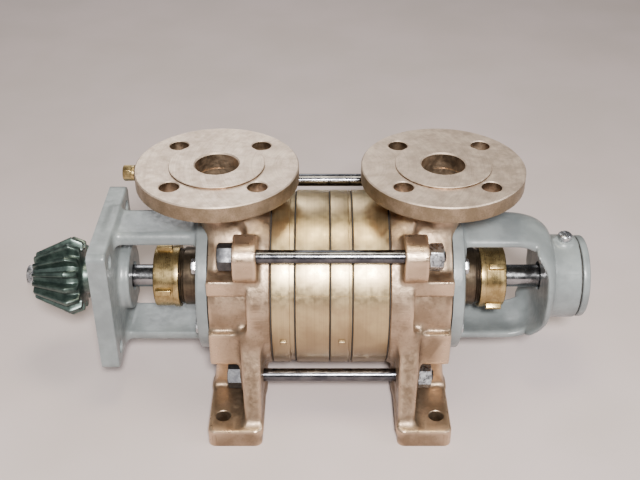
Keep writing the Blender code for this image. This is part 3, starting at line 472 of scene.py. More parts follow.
class Casting:
    """A solid held as signed distances on a grid, which shapes are blended into or cut from."""

    def __init__(self, low, high):
        axes = [np.arange(a, b + PITCH, PITCH, dtype=np.float32) for a, b in zip(low, high)]
        self.low = np.array([a[0] for a in axes])
        self.x, self.y, self.z = np.meshgrid(*axes, indexing="ij", sparse=True)
        self.radius = np.hypot(self.y, self.z)
        self.value = np.full([len(a) for a in axes], 60.0, np.float32)

    def add(self, shape, blend=0.0):
        self.value = smooth_min(self.value, shape, blend).astype(np.float32)

    def cut(self, shape, blend=0.0):
        self.value = -smooth_min(-self.value, shape, blend).astype(np.float32)

    def turned(self, profile):
        """The distance to a body turned from a closed (x, r) profile about the shaft axis."""
        xs = self.x[:, 0, 0]
        rs = np.arange(0, self.radius.max() + PITCH, PITCH / 3)
        u, v = xs[:, None], rs[None, :]
        nearest = np.full((len(xs), len(rs)), 1e9)
        inside = np.zeros(nearest.shape, bool)
        for (x0, r0), (x1, r1) in zip(profile, profile[1:] + profile[:1]):
            length = max((x1 - x0) ** 2 + (r1 - r0) ** 2, 1e-9)
            t = np.clip(((u - x0) * (x1 - x0) + (v - r0) * (r1 - r0)) / length, 0, 1)
            nearest = np.minimum(nearest, np.hypot(u - x0 - t * (x1 - x0), v - r0 - t * (r1 - r0)))
            if r0 != r1:
                passes = (r0 > v) != (r1 > v)
                inside ^= passes & (u < x0 + (v - r0) * (x1 - x0) / (r1 - r0))
        table = np.where(inside, -nearest, nearest)
        flat = self.radius.reshape(-1)
        rows = [np.interp(flat, rs, row).reshape(self.radius.shape[1:]) for row in table]
        return np.array(rows, np.float32)

    def bar(self, start, end, radius):
        """The distance to a flat-ended round bar between two points."""
        start, along = Vector(start), Vector(end) - Vector(start)
        length, along = along.length, along.normalized()
        dx, dy, dz = self.x - start.x, self.y - start.y, self.z - start.z
        t = dx * along.x + dy * along.y + dz * along.z
        across = np.sqrt(np.maximum(dx * dx + dy * dy + dz * dz - t * t, 0)) - radius
        return np.maximum(across, np.abs(t - length / 2) - length / 2)

    def softened(self, reach):
        """The distances averaged over a box of reach mm each way, to tell corners from edges."""
        steps = int(round(reach / PITCH))
        soft = np.clip(self.value, -reach, reach)
        for axis in range(3):
            padded = np.concatenate([np.repeat(soft.take([0], axis), steps + 1, axis), soft,
                                     np.repeat(soft.take([-1], axis), steps, axis)], axis)
            total = np.cumsum(padded, axis, dtype=np.float64)
            size = soft.shape[axis]
            high = total.take(range(2 * steps + 1, 2 * steps + 1 + size), axis)
            soft = ((high - total.take(range(size), axis)) / (2 * steps + 1)).astype(np.float32)
        return soft

    def sample(self, values, points):
        """values on the grid at points, by trilinear interpolation."""
        place = np.clip((points - self.low) / PITCH, 0, np.array(values.shape) - 1.001)
        cell = place.astype(int)
        part = place - cell
        total = np.zeros(len(points))
        for corner in np.ndindex(2, 2, 2):
            weight = np.prod(np.where(corner, part, 1 - part), axis=1)
            total += weight * values[tuple((cell + corner).T)]
        return total

    def surface(self, mirrored=False):
        """The casting's skin as a mesh: one vertex in each cell it crosses, settled onto it."""
        inside = self.value < 0
        shape = np.array(self.value.shape) - 1
        count = np.zeros(shape, np.int8)
        for i, j, k in np.ndindex(2, 2, 2):
            count += inside[i:i + shape[0], j:j + shape[1], k:k + shape[2]]
        crossed = (count > 0) & (count < 8)
        cells = np.argwhere(crossed)
        total, hits = np.zeros((len(cells), 3)), np.zeros(len(cells))
        for axis in range(3):
            step = np.eye(3, dtype=int)[axis]
            for corner in np.ndindex(2, 2, 2):
                if corner[axis]:
                    continue
                a = self.value[tuple((cells + corner).T)]
                b = self.value[tuple((cells + corner + step).T)]
                change = (a < 0) != (b < 0)
                share = (a / np.where(change, a - b, 1))[change, None]
                total[change] += np.array(corner) + share * step
                hits[change] += 1
        points = self.low + (cells + total / hits[:, None]) * PITCH
        number = np.full(shape, -1)
        number[crossed] = np.arange(len(cells))
        quads = []
        for axis in range(3):
            one, two = [np.eye(3, dtype=int)[i] for i in range(3) if i != axis]
            length = np.array(self.value.shape) - np.eye(3, dtype=int)[axis]
            here = inside[:length[0], :length[1], :length[2]]
            step = np.eye(3, dtype=int)[axis]
            there = inside[step[0]:, step[1]:, step[2]:]
            edges = np.argwhere(here != there)
            outward = here[tuple(edges.T)]
            ring = [number[tuple((edges - shift).T)] for shift in (one + two, two, 0 * one, one)]
            quad = np.stack(ring, 1)
            flip = outward if axis != 1 else ~outward
            quads.append(np.where(flip[:, None], quad, quad[:, ::-1]))
        quads = np.concatenate(quads)
        points = self.settled(points, quads)
        if mirrored:
            points = points * (-1, 1, 1)
            quads = quads[:, ::-1]
        mesh = bpy.data.meshes.new("casting")
        mesh.from_pydata(points.tolist(), [], quads.tolist())
        return linked("casting", mesh)

    def settled(self, points, quads):
        """Evens the vertices out along the surface, then puts them back on it."""
        reach = PITCH * 0.5
        starts, ends = quads.ravel(), np.roll(quads, -1, 1).ravel()
        weight = np.bincount(starts, minlength=len(points))[:, None]
        for _ in range(3):
            around = np.stack([np.bincount(starts, points[ends, i], len(points))
                               for i in range(3)], 1) / weight
            points = points + 0.5 * (around - points)
            for _ in range(2):
                slope = np.stack([self.sample(self.value, points + reach * axis)
                                  - self.sample(self.value, points - reach * axis)
                                  for axis in np.eye(3)], 1) / (2 * reach)
                size = np.maximum((slope ** 2).sum(1, keepdims=True), 0.1)
                off = self.sample(self.value, points)[:, None]
                points = points - np.clip(off, -1, 1) * slope / size
        return points

    def shade(self, obj, reach=7.0, mirrored=False):
        """Stores each vertex's depth in a corner, for painted shade and dirt there, and for wear.
        """
        soft = self.softened(reach)
        points = corners_of(obj.data) * ((-1, 1, 1) if mirrored else (1, 1, 1))
        depth = -self.sample(soft, points) / reach
        attribute = obj.data.attributes.new("hollow", "FLOAT", "POINT")
        attribute.data.foreach_set("value", depth.astype(np.float32))


# ------------------------------------------------------------ mesh builders

def linked(name, mesh):
    obj = bpy.data.objects.new(name, mesh)
    bpy.context.scene.collection.objects.link(obj)
    return obj


def corners_of(mesh):
    flat = np.zeros(len(mesh.vertices) * 3)
    mesh.vertices.foreach_get("co", flat)
    return flat.reshape(-1, 3)


def from_bmesh(name, made):
    bmesh.ops.recalc_face_normals(made, faces=made.faces)
    mesh = bpy.data.meshes.new(name)
    made.to_mesh(mesh)
    made.free()
    return linked(name, mesh)


def rounded(points, radius=0.0):
    """A closed outline with its corners rounded; a third number is a corner's own radius."""
    steps = 3
    made = []
    for i, point in enumerate(points):
        corner = Vector(point[:2])
        before = Vector(points[i - 1][:2]) - corner
        after = Vector(points[(i + 1) % len(points)][:2]) - corner
        size = point[2] if len(point) > 2 else radius
        if size <= 0 or min(before.length, after.length) < 1e-6:
            made.append(tuple(corner))
            continue
        half = max(before.angle(after) / 2, 0.05)
        reach = min(size / tan(half), before.length * 0.48, after.length * 0.48)
        if pi / 2 - half < 0.03:
            made.append(tuple(corner))
            continue
        a, b = corner + before.normalized() * reach, corner + after.normalized() * reach
        for k in range(steps + 1):
            t = k / steps
            made.append(tuple(a * (1 - t) ** 2 + corner * 2 * t * (1 - t) + b * t * t))
    return made


def lathe(profile, segments=96, along="X", at=(0, 0)):
    """A closed or axis-to-axis (x, r) profile turned about an axis through at."""
    made = bmesh.new()
    centre = Vector((0, *at) if along == "X" else (*at, 0))
    rings = []
    for x, r in profile:
        ring = []
        for i in range(1 if r < 1e-6 else segments):
            angle = 2 * pi * i / segments
            a, b = r * cos(angle), r * sin(angle)
            ring.append(made.verts.new(centre + Vector((x, a, b) if along == "X" else (a, b, x))))
        rings.append(ring)
    for low, high in zip(rings, rings[1:] + rings[:1]):
        if len(low) == 1 and len(high) == 1:
            continue
        for i in range(segments):
            j = (i + 1) % segments
            corners = [low[i % len(low)], low[j % len(low)],
                       high[j % len(high)], high[i % len(high)]]
            made.faces.new(list(dict.fromkeys(corners)))
    return from_bmesh("turned", made)


def turned(profile, segments=96, along="X", at=(0, 0)):
    """As lathe, with a third number of a point rounding the corner there."""
    return lathe(rounded(profile), segments, along, at)


def on_side(side, profile):
    """A profile given in distances from the pump's middle, put on one side of it."""
    return [(side * x, r) for x, r in profile]


def prism(outline, low, high, along="X", bevel=0.0):
    """A flat outline made solid between two heights; along X a point is (y, z), along Z (x, y)."""
    made = bmesh.new()
    bottom, top = [[made.verts.new((w, u, v) if along == "X" else (u, v, w)) for u, v in outline]
                   for w in (low, high)]
    made.faces.new(bottom)
    made.faces.new(top)
    for i in range(len(outline)):
        j = (i + 1) % len(outline)
        made.faces.new((bottom[i], bottom[j], top[j], top[i]))
    obj = from_bmesh("prism", made)
    if bevel:
        soften_edges(obj, bevel)
    return obj


def soften_edges(obj, width, angle=30, segments=3):
    step = obj.modifiers.new("bevel", "BEVEL")
    step.width = width
    step.segments = segments
    step.limit_method = "ANGLE"
    step.angle_limit = radians(angle)
    settle(obj)


def settle(obj):
    """Puts an object's modifiers into its mesh."""
    graph = bpy.context.evaluated_depsgraph_get()
    mesh = bpy.data.meshes.new_from_object(obj.evaluated_get(graph))
    old = obj.data
    obj.modifiers.clear()
    obj.data = mesh
    bpy.data.meshes.remove(old)
    return obj


def merged(objects):
    """Several meshes that don't touch, as one object."""
    made = bmesh.new()
    for obj in objects:
        made.from_mesh(obj.data)
        bpy.data.objects.remove(obj)
    mesh = bpy.data.meshes.new("merged")
    made.to_mesh(mesh)
    made.free()
    return linked("merged", mesh)


def boolean(obj, others, operation="DIFFERENCE", solver="MANIFOLD"):
    for other in others:
        step = obj.modifiers.new("boolean", "BOOLEAN")
        step.operation = operation
        step.solver = solver
        step.object = other
        settle(obj)
        bpy.data.objects.remove(other)
    return obj


def cylinder(radius, low, high, at=(0, 0), along="X", segments=64):
    return lathe([(low, 0), (low, radius), (high, radius), (high, 0)], segments, along, at)


def flared(radius, low, high, at=(0, 0), along="Z", chamfer=0.8, segments=64):
    """A drill that breaks the edges of its hole, for a hole from low to high."""
    over = 3.0
    wide = radius + chamfer + over
    profile = [(low - over, 0), (low - over, wide), (low + chamfer, radius),
               (high - chamfer, radius), (high + over, wide), (high + over, 0)]
    return lathe(profile, segments, along, at)


def hexagon_head(flats, low, high, at=(0, 0), chamfer_low=True, chamfer_high=True, turn=0.0):
    """A hexagon with its corners turned off at 30 degrees, as on a bolt head or a nut."""
    corner = flats / 2 / cos(pi / 6)
    outline = [(at[0] + corner * cos(radians(60 * i + turn)),
                at[1] + corner * sin(radians(60 * i + turn))) for i in range(6)]
    head = prism(outline, low, high)
    face, outside = flats / 2 * 0.95, corner + 1
    drop = (outside - face) * tan(radians(30))
    profile = [(low, 0), (low, face if chamfer_low else outside)]
    profile += [(low + drop, outside)] if chamfer_low else []
    profile += [(high - drop, outside)] if chamfer_high else []
    profile += [(high, face if chamfer_high else outside), (high, 0)]
    boolean(head, [lathe(profile, 72, at=at)], "INTERSECT", "EXACT")
    soften_edges(head, 0.25, 25, 2)
    return head


def thread(radius, low, high, pitch=2.0, depth=0.9):
    """Profile points of a thread from low to high, as closely set ridges."""
    count = max(1, int(abs(high - low) / pitch))
    step = (high - low) / count
    points = []
    for i in range(count):
        x = low + i * step
        points += [(x, radius - depth), (x + step * 0.45, radius), (x + step * 0.55, radius)]
    points.append((high, radius - depth))
    return points


# ------------------------------------------------------------------- pieces

MATERIALS = {}


def finish_piece(obj, name, surface, angle=32, body=None):
    """Scales a piece into the frame's metres, and hands it over with its finish.

    It stands for the node of its name, or is a piece of its own where a body is given.
    """
    obj.name = name + "_detailed"
    obj.data.name = obj.name
    obj.data.transform(Matrix.Translation(MIDDLE) @ Matrix.Scale(0.001, 4))
    slots = np.zeros(len(obj.data.polygons), np.int32)
    obj.data.polygons.foreach_get("material_index", slots)
    obj.data.materials.clear()
    for one in surface if isinstance(surface, (list, tuple)) else [surface]:
        obj.data.materials.append(MATERIALS[one])
    obj.data.polygons.foreach_set("material_index", slots % len(obj.data.materials))
    obj.data.shade_smooth()
    obj.data.set_sharp_from_angle(angle=radians(angle))
    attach(obj, body or BODY_OF[name])
    if body is None:
        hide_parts(name)


def extent(node):
    """Where a node starts and ends along the shaft."""
    return low_of(node).x, high_of(node).x


def make_materials():
    # The third colour is the dark brown of the painted shade and grime in the corners.
    bronze = ((0.43, 0.315, 0.22), (0.26, 0.182, 0.12), (0.07, 0.042, 0.024))
    MATERIALS["bronze"] = cast_bronze("cast_gunmetal", *bronze)
    MATERIALS["rings"] = ring_bronze()
    MATERIALS["flange"] = turned_metal("machined_flange", (0.68, 0.54, 0.43), (0.48, 0.37, 0.29),
                                       0.70, 0.42, 1.2, along="Z", mottle=0.25)
    # The rim's dark brown is painted shade on the flange's upright edge.
    MATERIALS["rim"] = turned_metal("flange_rim_painted_shade", (0.33, 0.25, 0.17), (0.22, 0.165, 0.105),
                                    0.9, 0.42, 1.2, along="Z")
    # The necks' dark brown is painted shade: a shaded copy of the bronze.
    MATERIALS["neck"] = turned_metal("neck_bronze_painted_shade", (0.12, 0.090, 0.060), (0.060, 0.043, 0.030),
                                     0.9, 0.36, 0.6)
    MATERIALS["brass"] = turned_metal("gland_brass", (0.56, 0.42, 0.20), (0.30, 0.21, 0.09),
                                      0.95, 0.30, 0.6)
    MATERIALS["paint"] = grey_paint()
    MATERIALS["shaft"] = turned_metal("ground_shaft", (0.34, 0.34, 0.35), (0.22, 0.22, 0.23),
                                      1.0, 0.18, 0.5, mottle=0.15, depth=0.02)
    MATERIALS["tie"] = turned_metal("tie_bolt_steel", (0.14, 0.14, 0.15), (0.07, 0.07, 0.08),
                                    1.0, 0.19, 1.4, mottle=0.2, depth=0.02)
    MATERIALS["zinc"] = steel("zinc_plated_steel", (0.66, 0.66, 0.68), (0.48, 0.48, 0.50), 0.28)
    MATERIALS["black"] = steel("black_steel", (0.085, 0.085, 0.09), (0.045, 0.045, 0.05), 0.36,
                               metallic=0.85)
    MATERIALS["pinion"] = pinion_steel()
    MATERIALS["bearing"] = steel("bearing_steel", (0.70, 0.70, 0.72), (0.60, 0.60, 0.62), 0.14,
                                 spots=0.1)
    MATERIALS["rubber"] = soft_material("seal_rubber", (0.025, 0.025, 0.025),
                                        (0.015, 0.015, 0.015), 0.6, 3)
    MATERIALS["paper"] = soft_material("oiled_paper", (0.030, 0.024, 0.020), (0.016, 0.013, 0.011),
                                       0.8, 2)
    MATERIALS["packing"] = soft_material("graphited_packing", (0.12, 0.11, 0.09),
                                         (0.06, 0.055, 0.05), 0.7, 2.5)
    MATERIALS["floor"] = floor_paper()


def casing_casting():
    """One casing as cast, with its face towards -X; the other casing is its mirror image."""
    g = Casting((26, -124, -117), (182, 124, FLANGE_FACE + 5))
    x, y, z, r = g.x, g.y, g.z, g.radius
    fold_y, fold_z = np.abs(y), np.abs(z)
    drum = [(50, 0, 0), (50, RING_RADIUS, 0), (DRUM_STEP, RING_RADIUS, 1.5),
            (DRUM_STEP, STEP_RADIUS, 2.5), (106, STEP_RADIUS, 2.5), (CASING_OUTER, END_RADIUS, 2.5),
            (CASING_OUTER, 0, 0)]
    g.add(g.turned(rounded(drum, 1.5)))
    g.add(g.bar((84, 0, 46), (PORT_X, 0, FLANGE_BOTTOM + 2), PORT_NECK_RADIUS), 16)
    flange = circle(x, y, FLANGE_RADIUS, (PORT_X, 0))
    g.add(extruded(flange, z, FLANGE_BOTTOM, FLANGE_FACE + 4, 1.2), 11)

    web_top, web_low = LEDGE_TOP + 4, FOOT_TOP - 4
    outline = [(-80, web_top), (-114, web_low), (114, web_low), (80, web_top)]
    lean = (x - 84 - (z - web_top) * 4.5 / (web_top - web_low)) * 0.998
    web = convex(y, z, outline)
    web = -smooth_min(-web, -lean, 4)
    web = -smooth_min(-web, x - WEB_INNER, 3)
    g.add(web, 9)
    wall = convex(x, z, [(66, FOOT_TOP - 4), (FOOT_OUTER - 1, FOOT_TOP - 4),
                         (107, LEDGE_BOTTOM + 6), (66, LEDGE_BOTTOM + 6)])
    g.add(extruded(wall, fold_y, WALL_INNER_FACE, WALL_OUTER_FACE, 2), 12)
    foot = rectangle(x, y, (FOOT_INNER, -FOOT_HALF_LENGTH), (FOOT_OUTER, FOOT_HALF_LENGTH), 7)
    g.add(extruded(foot, z, BASE - 4, FOOT_TOP, 2.0), 7)
    ledge = rectangle(x, fold_y, (WEB_INNER + 1, 30), (CASING_OUTER - 0.2, LEDGE_FRONT), 2.5)
    g.add(extruded(ledge, z, LEDGE_BOTTOM, LEDGE_TOP, 2.0), 5)
    lug = rectangle(fold_y, fold_z, (LUG_ROOT, LUG_ROOT), (LUG_REACH, LUG_REACH), LUG_CORNER)
    lug_face = np.where(z > 0, LUG_OUTER[1], LUG_OUTER[-1]) + 0.6
    g.add(extruded(lug, x, LUG_INNER, lug_face, 1.5), 6)
    pad = rectangle(x, z, (LUG_INNER + 10, 28), (CASING_OUTER - 0.4, 44), 1.5)
    g.add(extruded(pad, fold_y, 55, 74, 2.0), 3)

    g.cut(extruded(r - BRACKET_RADIUS - 1.5, x, CASING_OUTER, 150, 1.5), 2)
    chamber = [(40, CHAMBER_INNER_RADIUS), (40, CHAMBER_OUTER_RADIUS),
               (CHAMBER_END, CHAMBER_OUTER_RADIUS, 8), (CHAMBER_END, CHAMBER_INNER_RADIUS, 8)]
    g.cut(g.turned(rounded(chamber)))
    g.cut(g.bar((80, 0, 46), (PORT_X, 0, PLUG_Z), PORT_BORE - 0.6), 4)
    return g


def machine_casing(obj, side):
    """Takes the joint face, flange, bores and holes out of a raw casing."""
    face = [(40, 0), (40, 100), (CASING_INNER + 1.0, 100), (CASING_INNER + 1.0, RING_RADIUS - 0.2),
            (CASING_INNER, RING_RADIUS - 1.2), (CASING_INNER, 0)]
    boolean(obj, [lathe(on_side(side, face), 160)])
    sole = on_side(side, [(55, -130), (125, -130), (125, 130), (55, 130)])
    boolean(obj, [prism(sole, BASE - 10, BASE, "Z")])
    wide = FLANGE_RADIUS + 8
    mill = [(FLANGE_FACE, 0), (FLANGE_FACE, FACE_RADIUS - 0.5), (FLANGE_FACE - 0.5, FACE_RADIUS),
            (FLANGE_RIM, FACE_RADIUS), (FLANGE_RIM, FLANGE_RADIUS - 1.0),
            (FLANGE_RIM - 4, FLANGE_RADIUS + 3), (FLANGE_RIM - 4, wide), (FLANGE_RIM + 15, wide),
            (FLANGE_RIM + 15, 0)]
    boolean(obj, [lathe(mill, 160, "Z", (side * PORT_X, 0))])

    neck = [(100, 20), (100, SPIGOT_RADIUS), (SPIGOT_OUTER, SPIGOT_RADIUS, 0.6),
            (SPIGOT_OUTER, NECK_RADIUS, 2.5), (NECK_SHOULDER, NECK_RADIUS, 0.8),
            (NECK_SHOULDER, THREAD_RADIUS - 1, 0)]
    neck += thread(THREAD_RADIUS, NECK_SHOULDER + 0.5, NECK_END - 1.5)
    neck += [(NECK_END, THREAD_RADIUS - 1.6, 0.3), (NECK_END, 20, 0)]
    boolean(obj, [lathe(on_side(side, rounded(neck)), 128)], "UNION")
    bore = [(30, 0), (30, THROAT), (100, THROAT), (100, BUSH), (PACKING_START, BUSH),
            (PACKING_START, PACKING_BORE), (NECK_END - 1.2, PACKING_BORE),
            (NECK_END + 2, PACKING_BORE + 3), (NECK_END + 2, 0)]
    boolean(obj, [lathe(on_side(side, bore))])

    reach = FLANGE_PCD / 2 * sin(pi / 4)
    port = [(FLANGE_BOTTOM + 2, 0), (FLANGE_BOTTOM + 2, PORT_BORE), (FLANGE_FACE - 1.2, PORT_BORE),
            (FLANGE_FACE + 3, PORT_BORE + 4.2), (FLANGE_FACE + 3, 0)]
    drills = [lathe(port, 96, "Z", (side * PORT_X, 0))]
    seat_radius, over = 15.0, 6.0
    for y_side, z_side in CORNERS.values():
        hole = (side * PORT_X + z_side * reach, y_side * reach)
        drills.append(flared(FLANGE_HOLE, FLANGE_BOTTOM, FLANGE_RIM, hole))
        bolt, seat = TIE_RADIUS + 0.8, LUG_OUTER[z_side]
        stepped = [(WEB_INNER - 6, 0), (WEB_INNER - 6, bolt), (seat, bolt),
                   (seat, seat_radius), (seat + over, seat_radius), (seat + over, 0)]
        at = (y_side * TIE_OFFSET, z_side * TIE_OFFSET)
        drills.append(lathe(on_side(side, stepped), 64, at=at))
        at = (y_side * BOLT_OFFSET, z_side * BOLT_OFFSET)
        low, high = sorted((side * 102, side * (CASING_OUTER + 2)))
        drills.append(cylinder(4.3, low, high, at, segments=32))
    for y_side in (-1, 1):
        at = (side * FOOT_HOLE_X, y_side * FOOT_HOLE_Y)
        drills.append(flared(FOOT_HOLE, BASE, FOOT_TOP, at, chamfer=0.6))
    if side < 0:
        rim_x = -PORT_X - FLANGE_RADIUS
        drills.append(cylinder(4.3, rim_x - 2, rim_x + 12, (0, PLUG_Z), segments=32))
    boolean(obj, [merged(drills)])


def casings():
    g = casing_casting()
    for name, side in (("discharge_casing", 1), ("suction_casing", -1)):
        obj = g.surface(mirrored=side < 0)
        thinned(obj, 0.45)
        machine_casing(obj, side)
        g.shade(obj, mirrored=side < 0)
        assign_faces(obj, casing_finish(side))
        finish_piece(obj, name, ["bronze", "flange", "neck", "rim"])


def casing_finish(side):
    """Which finish a casing's face has: 0 cast, 1 machined flange, 2 turned neck, 3 flange rim."""
    def choose(centres, normals):
        x, y, z = centres.T
        slot = np.zeros(len(centres), int)
        flange = (z > FLANGE_RIM - 1.2) & (np.abs(normals[:, 2]) > 0.5)
        slot[flange] = 1
        from_port = np.hypot(x - side * PORT_X, y)
        slot[(z > FLANGE_BOTTOM + 1.0) & (from_port > FLANGE_RADIUS - 0.8) & ~flange] = 3
        neck = (x * side > CASING_OUTER + 0.05) & (np.hypot(y, z) < SPIGOT_RADIUS + 1)
        slot[neck] = 2
        return slot
    return choose


def assign_faces(obj, choose):
    mesh = obj.data
    count = len(mesh.polygons)
    centres, normals = np.zeros(count * 3), np.zeros(count * 3)
    mesh.polygons.foreach_get("center", centres)
    mesh.polygons.foreach_get("normal", normals)
    slots = choose(centres.reshape(-1, 3), normals.reshape(-1, 3))
    mesh.polygons.foreach_set("material_index", slots.astype(np.int32))


def disc_ring(name, low, high, groove):
    """A narrow stage ring with its shallower band, its edges broken."""
    band_low, band_high, depth = groove
    band = RING_RADIUS - depth
    rim = [(low, RING_BORE), (low, RING_RADIUS, 0.7), (band_low, RING_RADIUS, 0.4),
           (band_low, band, 0.4)]
    if band_high < high - 0.5:
        rim += [(band_high, band, 0.3), (band_high, RING_RADIUS, 0.3), (high, RING_RADIUS, 0.6)]
    else:
        rim += [(high, band, 0.6)]
    rim += [(high, RING_BORE)]
    ring = turned(rim, 192)
    cast_marks(ring, low + 1, band_low - 0.5, nub_at=(low + band_low) / 2 + 2)
    finish_piece(ring, name, "rings")


def wheel_ring(name, low, high):
    """A wide stage ring, hollow for its wheel."""
    floor = low + CAVITY_DEPTH
    rim = [(low, CAVITY_RADIUS), (low, RING_RADIUS, 0.7), (high, RING_RADIUS, 0.7),
           (high, RING_BORE), (floor, RING_BORE), (floor, CAVITY_RADIUS, 1.0)]
    ring = turned(rim, 192)
    cast_marks(ring, low + 1, high - 1)
    finish_piece(ring, name, "rings")


def cast_marks(ring, low, high, nub_at=None):
    """The mould's parting line along a ring, and the stub of a filed-off lug."""
    def placed(obj, degrees):
        obj.data.transform(Matrix.Rotation(radians(degrees), 4, "X"))
        return obj
    edge = RING_RADIUS
    line = [(-edge + 1, -0.8), (-edge + 1, 0.8), (-edge - 0.35, 0.35), (-edge - 0.35, -0.35)]
    marks = [placed(prism(line, low, high), -22), placed(prism(line, low, high), 158)]
    if nub_at is not None:
        stub = [(-edge + 1, -3.2), (-edge + 1, 3.2), (-edge - 2.3, 2.3), (-edge - 2.3, -2.3)]
        marks.append(placed(prism(stub, nub_at - 3, nub_at + 3, bevel=0.6), 12))
    boolean(ring, marks, "UNION")


def rings():
    joints = [high_of(f"joint_gasket_{i}").x - 0.4 for i in range(1, 6)]
    gap = 0.7
    disc_ring("stage1_suction_disc", joints[0] + gap, joints[1] - gap, (-37.0, -32.0, 2.0))
    wheel_ring("stage1_casing", joints[1] + gap, joints[2] - gap)
    disc_ring("stage2_suction_disc", joints[2] + gap, joints[3] - gap, (17.2, 18.6, 1.6))
    wheel_ring("stage2_casing", joints[3] + gap, joints[4] - gap)
    for i, x in enumerate(joints, 1):
        start, end, edge = x - 0.55, x + 0.55, RING_RADIUS - 1.2
        rim = [(start, 77.5), (start, edge, 0.3), (end, edge, 0.3), (end, 77.5)]
        finish_piece(turned(rim, 144), f"joint_gasket_{i}", "paper")


def tie_bolts():
    for corner, (y_side, z_side) in CORNERS.items():
        lug_face = LUG_OUTER[z_side]
        head, seat, end = -lug_face - 0.3, lug_face + 0.3, lug_face + TIE_HEIGHT + 2
        at = (y_side * TIE_OFFSET, z_side * TIE_OFFSET)
        turn = 8 * y_side - 3 * z_side
        shank = [(head - 3, 0), (head - 3, TIE_RADIUS), (LUG_INNER + 8, TIE_RADIUS)]
        shank += thread(TIE_RADIUS, LUG_INNER + 9, end - 1)
        shank += [(end, TIE_RADIUS - 1.6), (end, 0)]
        bolt = lathe(shank, 48, at=at)
        boolean(bolt, [hexagon_head(TIE_FLATS, head - TIE_HEIGHT, head, at, chamfer_high=False,
                                    turn=turn)], "UNION")
        assign_faces(bolt, lambda centres, normals: (centres[:, 0] < head + 0.01).astype(int))
        finish_piece(bolt, f"tie_bolt_{corner}", ["tie", "black"])
        nut = hexagon_head(TIE_FLATS, seat, lug_face + TIE_HEIGHT, at, turn=-turn)
        bore = flared(TIE_RADIUS + 0.15, seat, lug_face + TIE_HEIGHT, at, "X", segments=48)
        boolean(nut, [bore])
        finish_piece(nut, f"tie_nut_{corner}", "zinc")


def bracket_bolts():
    head = BRACKET_OUTER + 0.3
    for end, side in (("drive", -1), ("free", 1)):
        for corner, (y_side, z_side) in CORNERS.items():
            at = (y_side * BOLT_OFFSET, z_side * BOLT_OFFSET)
            low, high = sorted((side * (head + 1.0), side * (head + 5.5)))
            bolt = hexagon_head(12.6, low, high, at, chamfer_low=side < 0, chamfer_high=side > 0,
                                turn=11 * y_side + 4 * z_side)
            top, shank = side * (head + 1.2), 3.9
            washer = [(top, 0), (top, 6.5, 0.4), (side * head, 6.5, 0.3), (side * head, shank),
                      (side * 103, shank), (side * 103, 0)]
            boolean(bolt, [turned(washer, 48, at=at)], "UNION")
            name = f"{end}_bracket_bolt_{corner}"
            finish_piece(bolt, name, "zinc")


def bracket_flange_drills(side):
    """The bore of a bracket's flange, and its bolt holes with spot faces under the heads."""
    outer, inner, spot = BRACKET_OUTER, BRACKET_INNER, BRACKET_OUTER - 0.1
    ring = [(outer + 3, 0), (outer + 3, BRACKET_BORE + 3.8), (outer - 0.8, BRACKET_BORE),
            (inner - 3, BRACKET_BORE), (inner - 3, 0)]
    hole = [(inner - 3, 0), (inner - 3, 4.5), (spot, 4.5), (spot, 9.0), (outer + 4, 9.0),
            (outer + 4, 0)]
    return [lathe(on_side(side, ring), 128)] + [
        lathe(on_side(side, hole), 48, at=(y * BOLT_OFFSET, z * BOLT_OFFSET))
        for y, z in CORNERS.values()]


def slab(low, high):
    """A block wider than the pump, to face off a casting across the shaft."""
    return prism([(-100, -100), (100, -100), (100, 100), (-100, 100)], low, high)


def screw_places(circle_radius):
    """The (y, z) places of a cover's screws on a circle of that radius."""
    return [(circle_radius * cos(radians(a)), circle_radius * sin(radians(a)))
            for a in COVER_SCREW_ANGLES]


def screw_holes(x, side, circle_radius):
    """Tapped holes for the cover screws."""
    low, high = sorted((x + side * 3, x - side * 10))
    return [cylinder(2.4, low, high, at, segments=24) for at in screw_places(circle_radius)]


def drive_bracket():
    g = Casting((-226, -70, -70), (-108, 70, 70))
    x, y, z, r = g.x, g.y, g.z, g.radius
    g.add(extruded(r - BRACKET_RADIUS, x, -BRACKET_OUTER, -BRACKET_INNER + 3, 1.5))
    plate = rectangle(y, z, (-PLATE_HALF, -PLATE_HALF), (PLATE_HALF, PLATE_HALF), 7)
    g.add(extruded(plate, x, PLATE_OUTER - 3, PLATE_INNER, 2))
    arm = [(-ARM_HALF, ARM_INNER), (ARM_HALF, ARM_INNER), (ARM_HALF, ARM_OUTER - 5),
           (ARM_HALF - 4, ARM_OUTER), (-ARM_HALF + 4, ARM_OUTER), (-ARM_HALF, ARM_OUTER - 5)]
    flat = convex(y, np.abs(z), arm, 2.5)
    g.add(extruded(flat, x, PLATE_INNER - 6, -BRACKET_OUTER + 4), 7)
    g.add(extruded(r - 32, x, PLATE_INNER - 6, -191, 2.0), 5)
    obj = thinned(g.surface(), 0.5)
    boolean(obj, [merged([slab(PLATE_OUTER - 20, PLATE_OUTER),
                          slab(-BRACKET_INNER, -BRACKET_INNER + 20)])])
    recess, bearing_end = extent("drive_bearing_outer_ring")
    seat = bearing_end + 0.3
    bore = [(PLATE_OUTER - 2, 0), (PLATE_OUTER - 2, 36), (PLATE_OUTER + 0.5, 34),
            (recess, 34), (recess, BEARING_SEAT), (seat, BEARING_SEAT), (seat, 14), (-191.5, 14),
            (-188, 17.5), (-188, 0)]
    drills = [lathe(bore, 128)] + bracket_flange_drills(-1)
    for y_side, z_side in CORNERS.values():
        at = (y_side * PLATE_HOLE_OFFSET, z_side * PLATE_HOLE_OFFSET)
        drills.append(flared(PLATE_HOLE, PLATE_OUTER, PLATE_INNER, at, "X", 0.7))
    boolean(obj, [merged(drills)])
    boolean(obj, [merged(screw_holes(PLATE_OUTER, -1, COVER_SCREW_RADIUS))])
    g.shade(obj)
    finish_piece(obj, "drive_end_bracket", "paint")


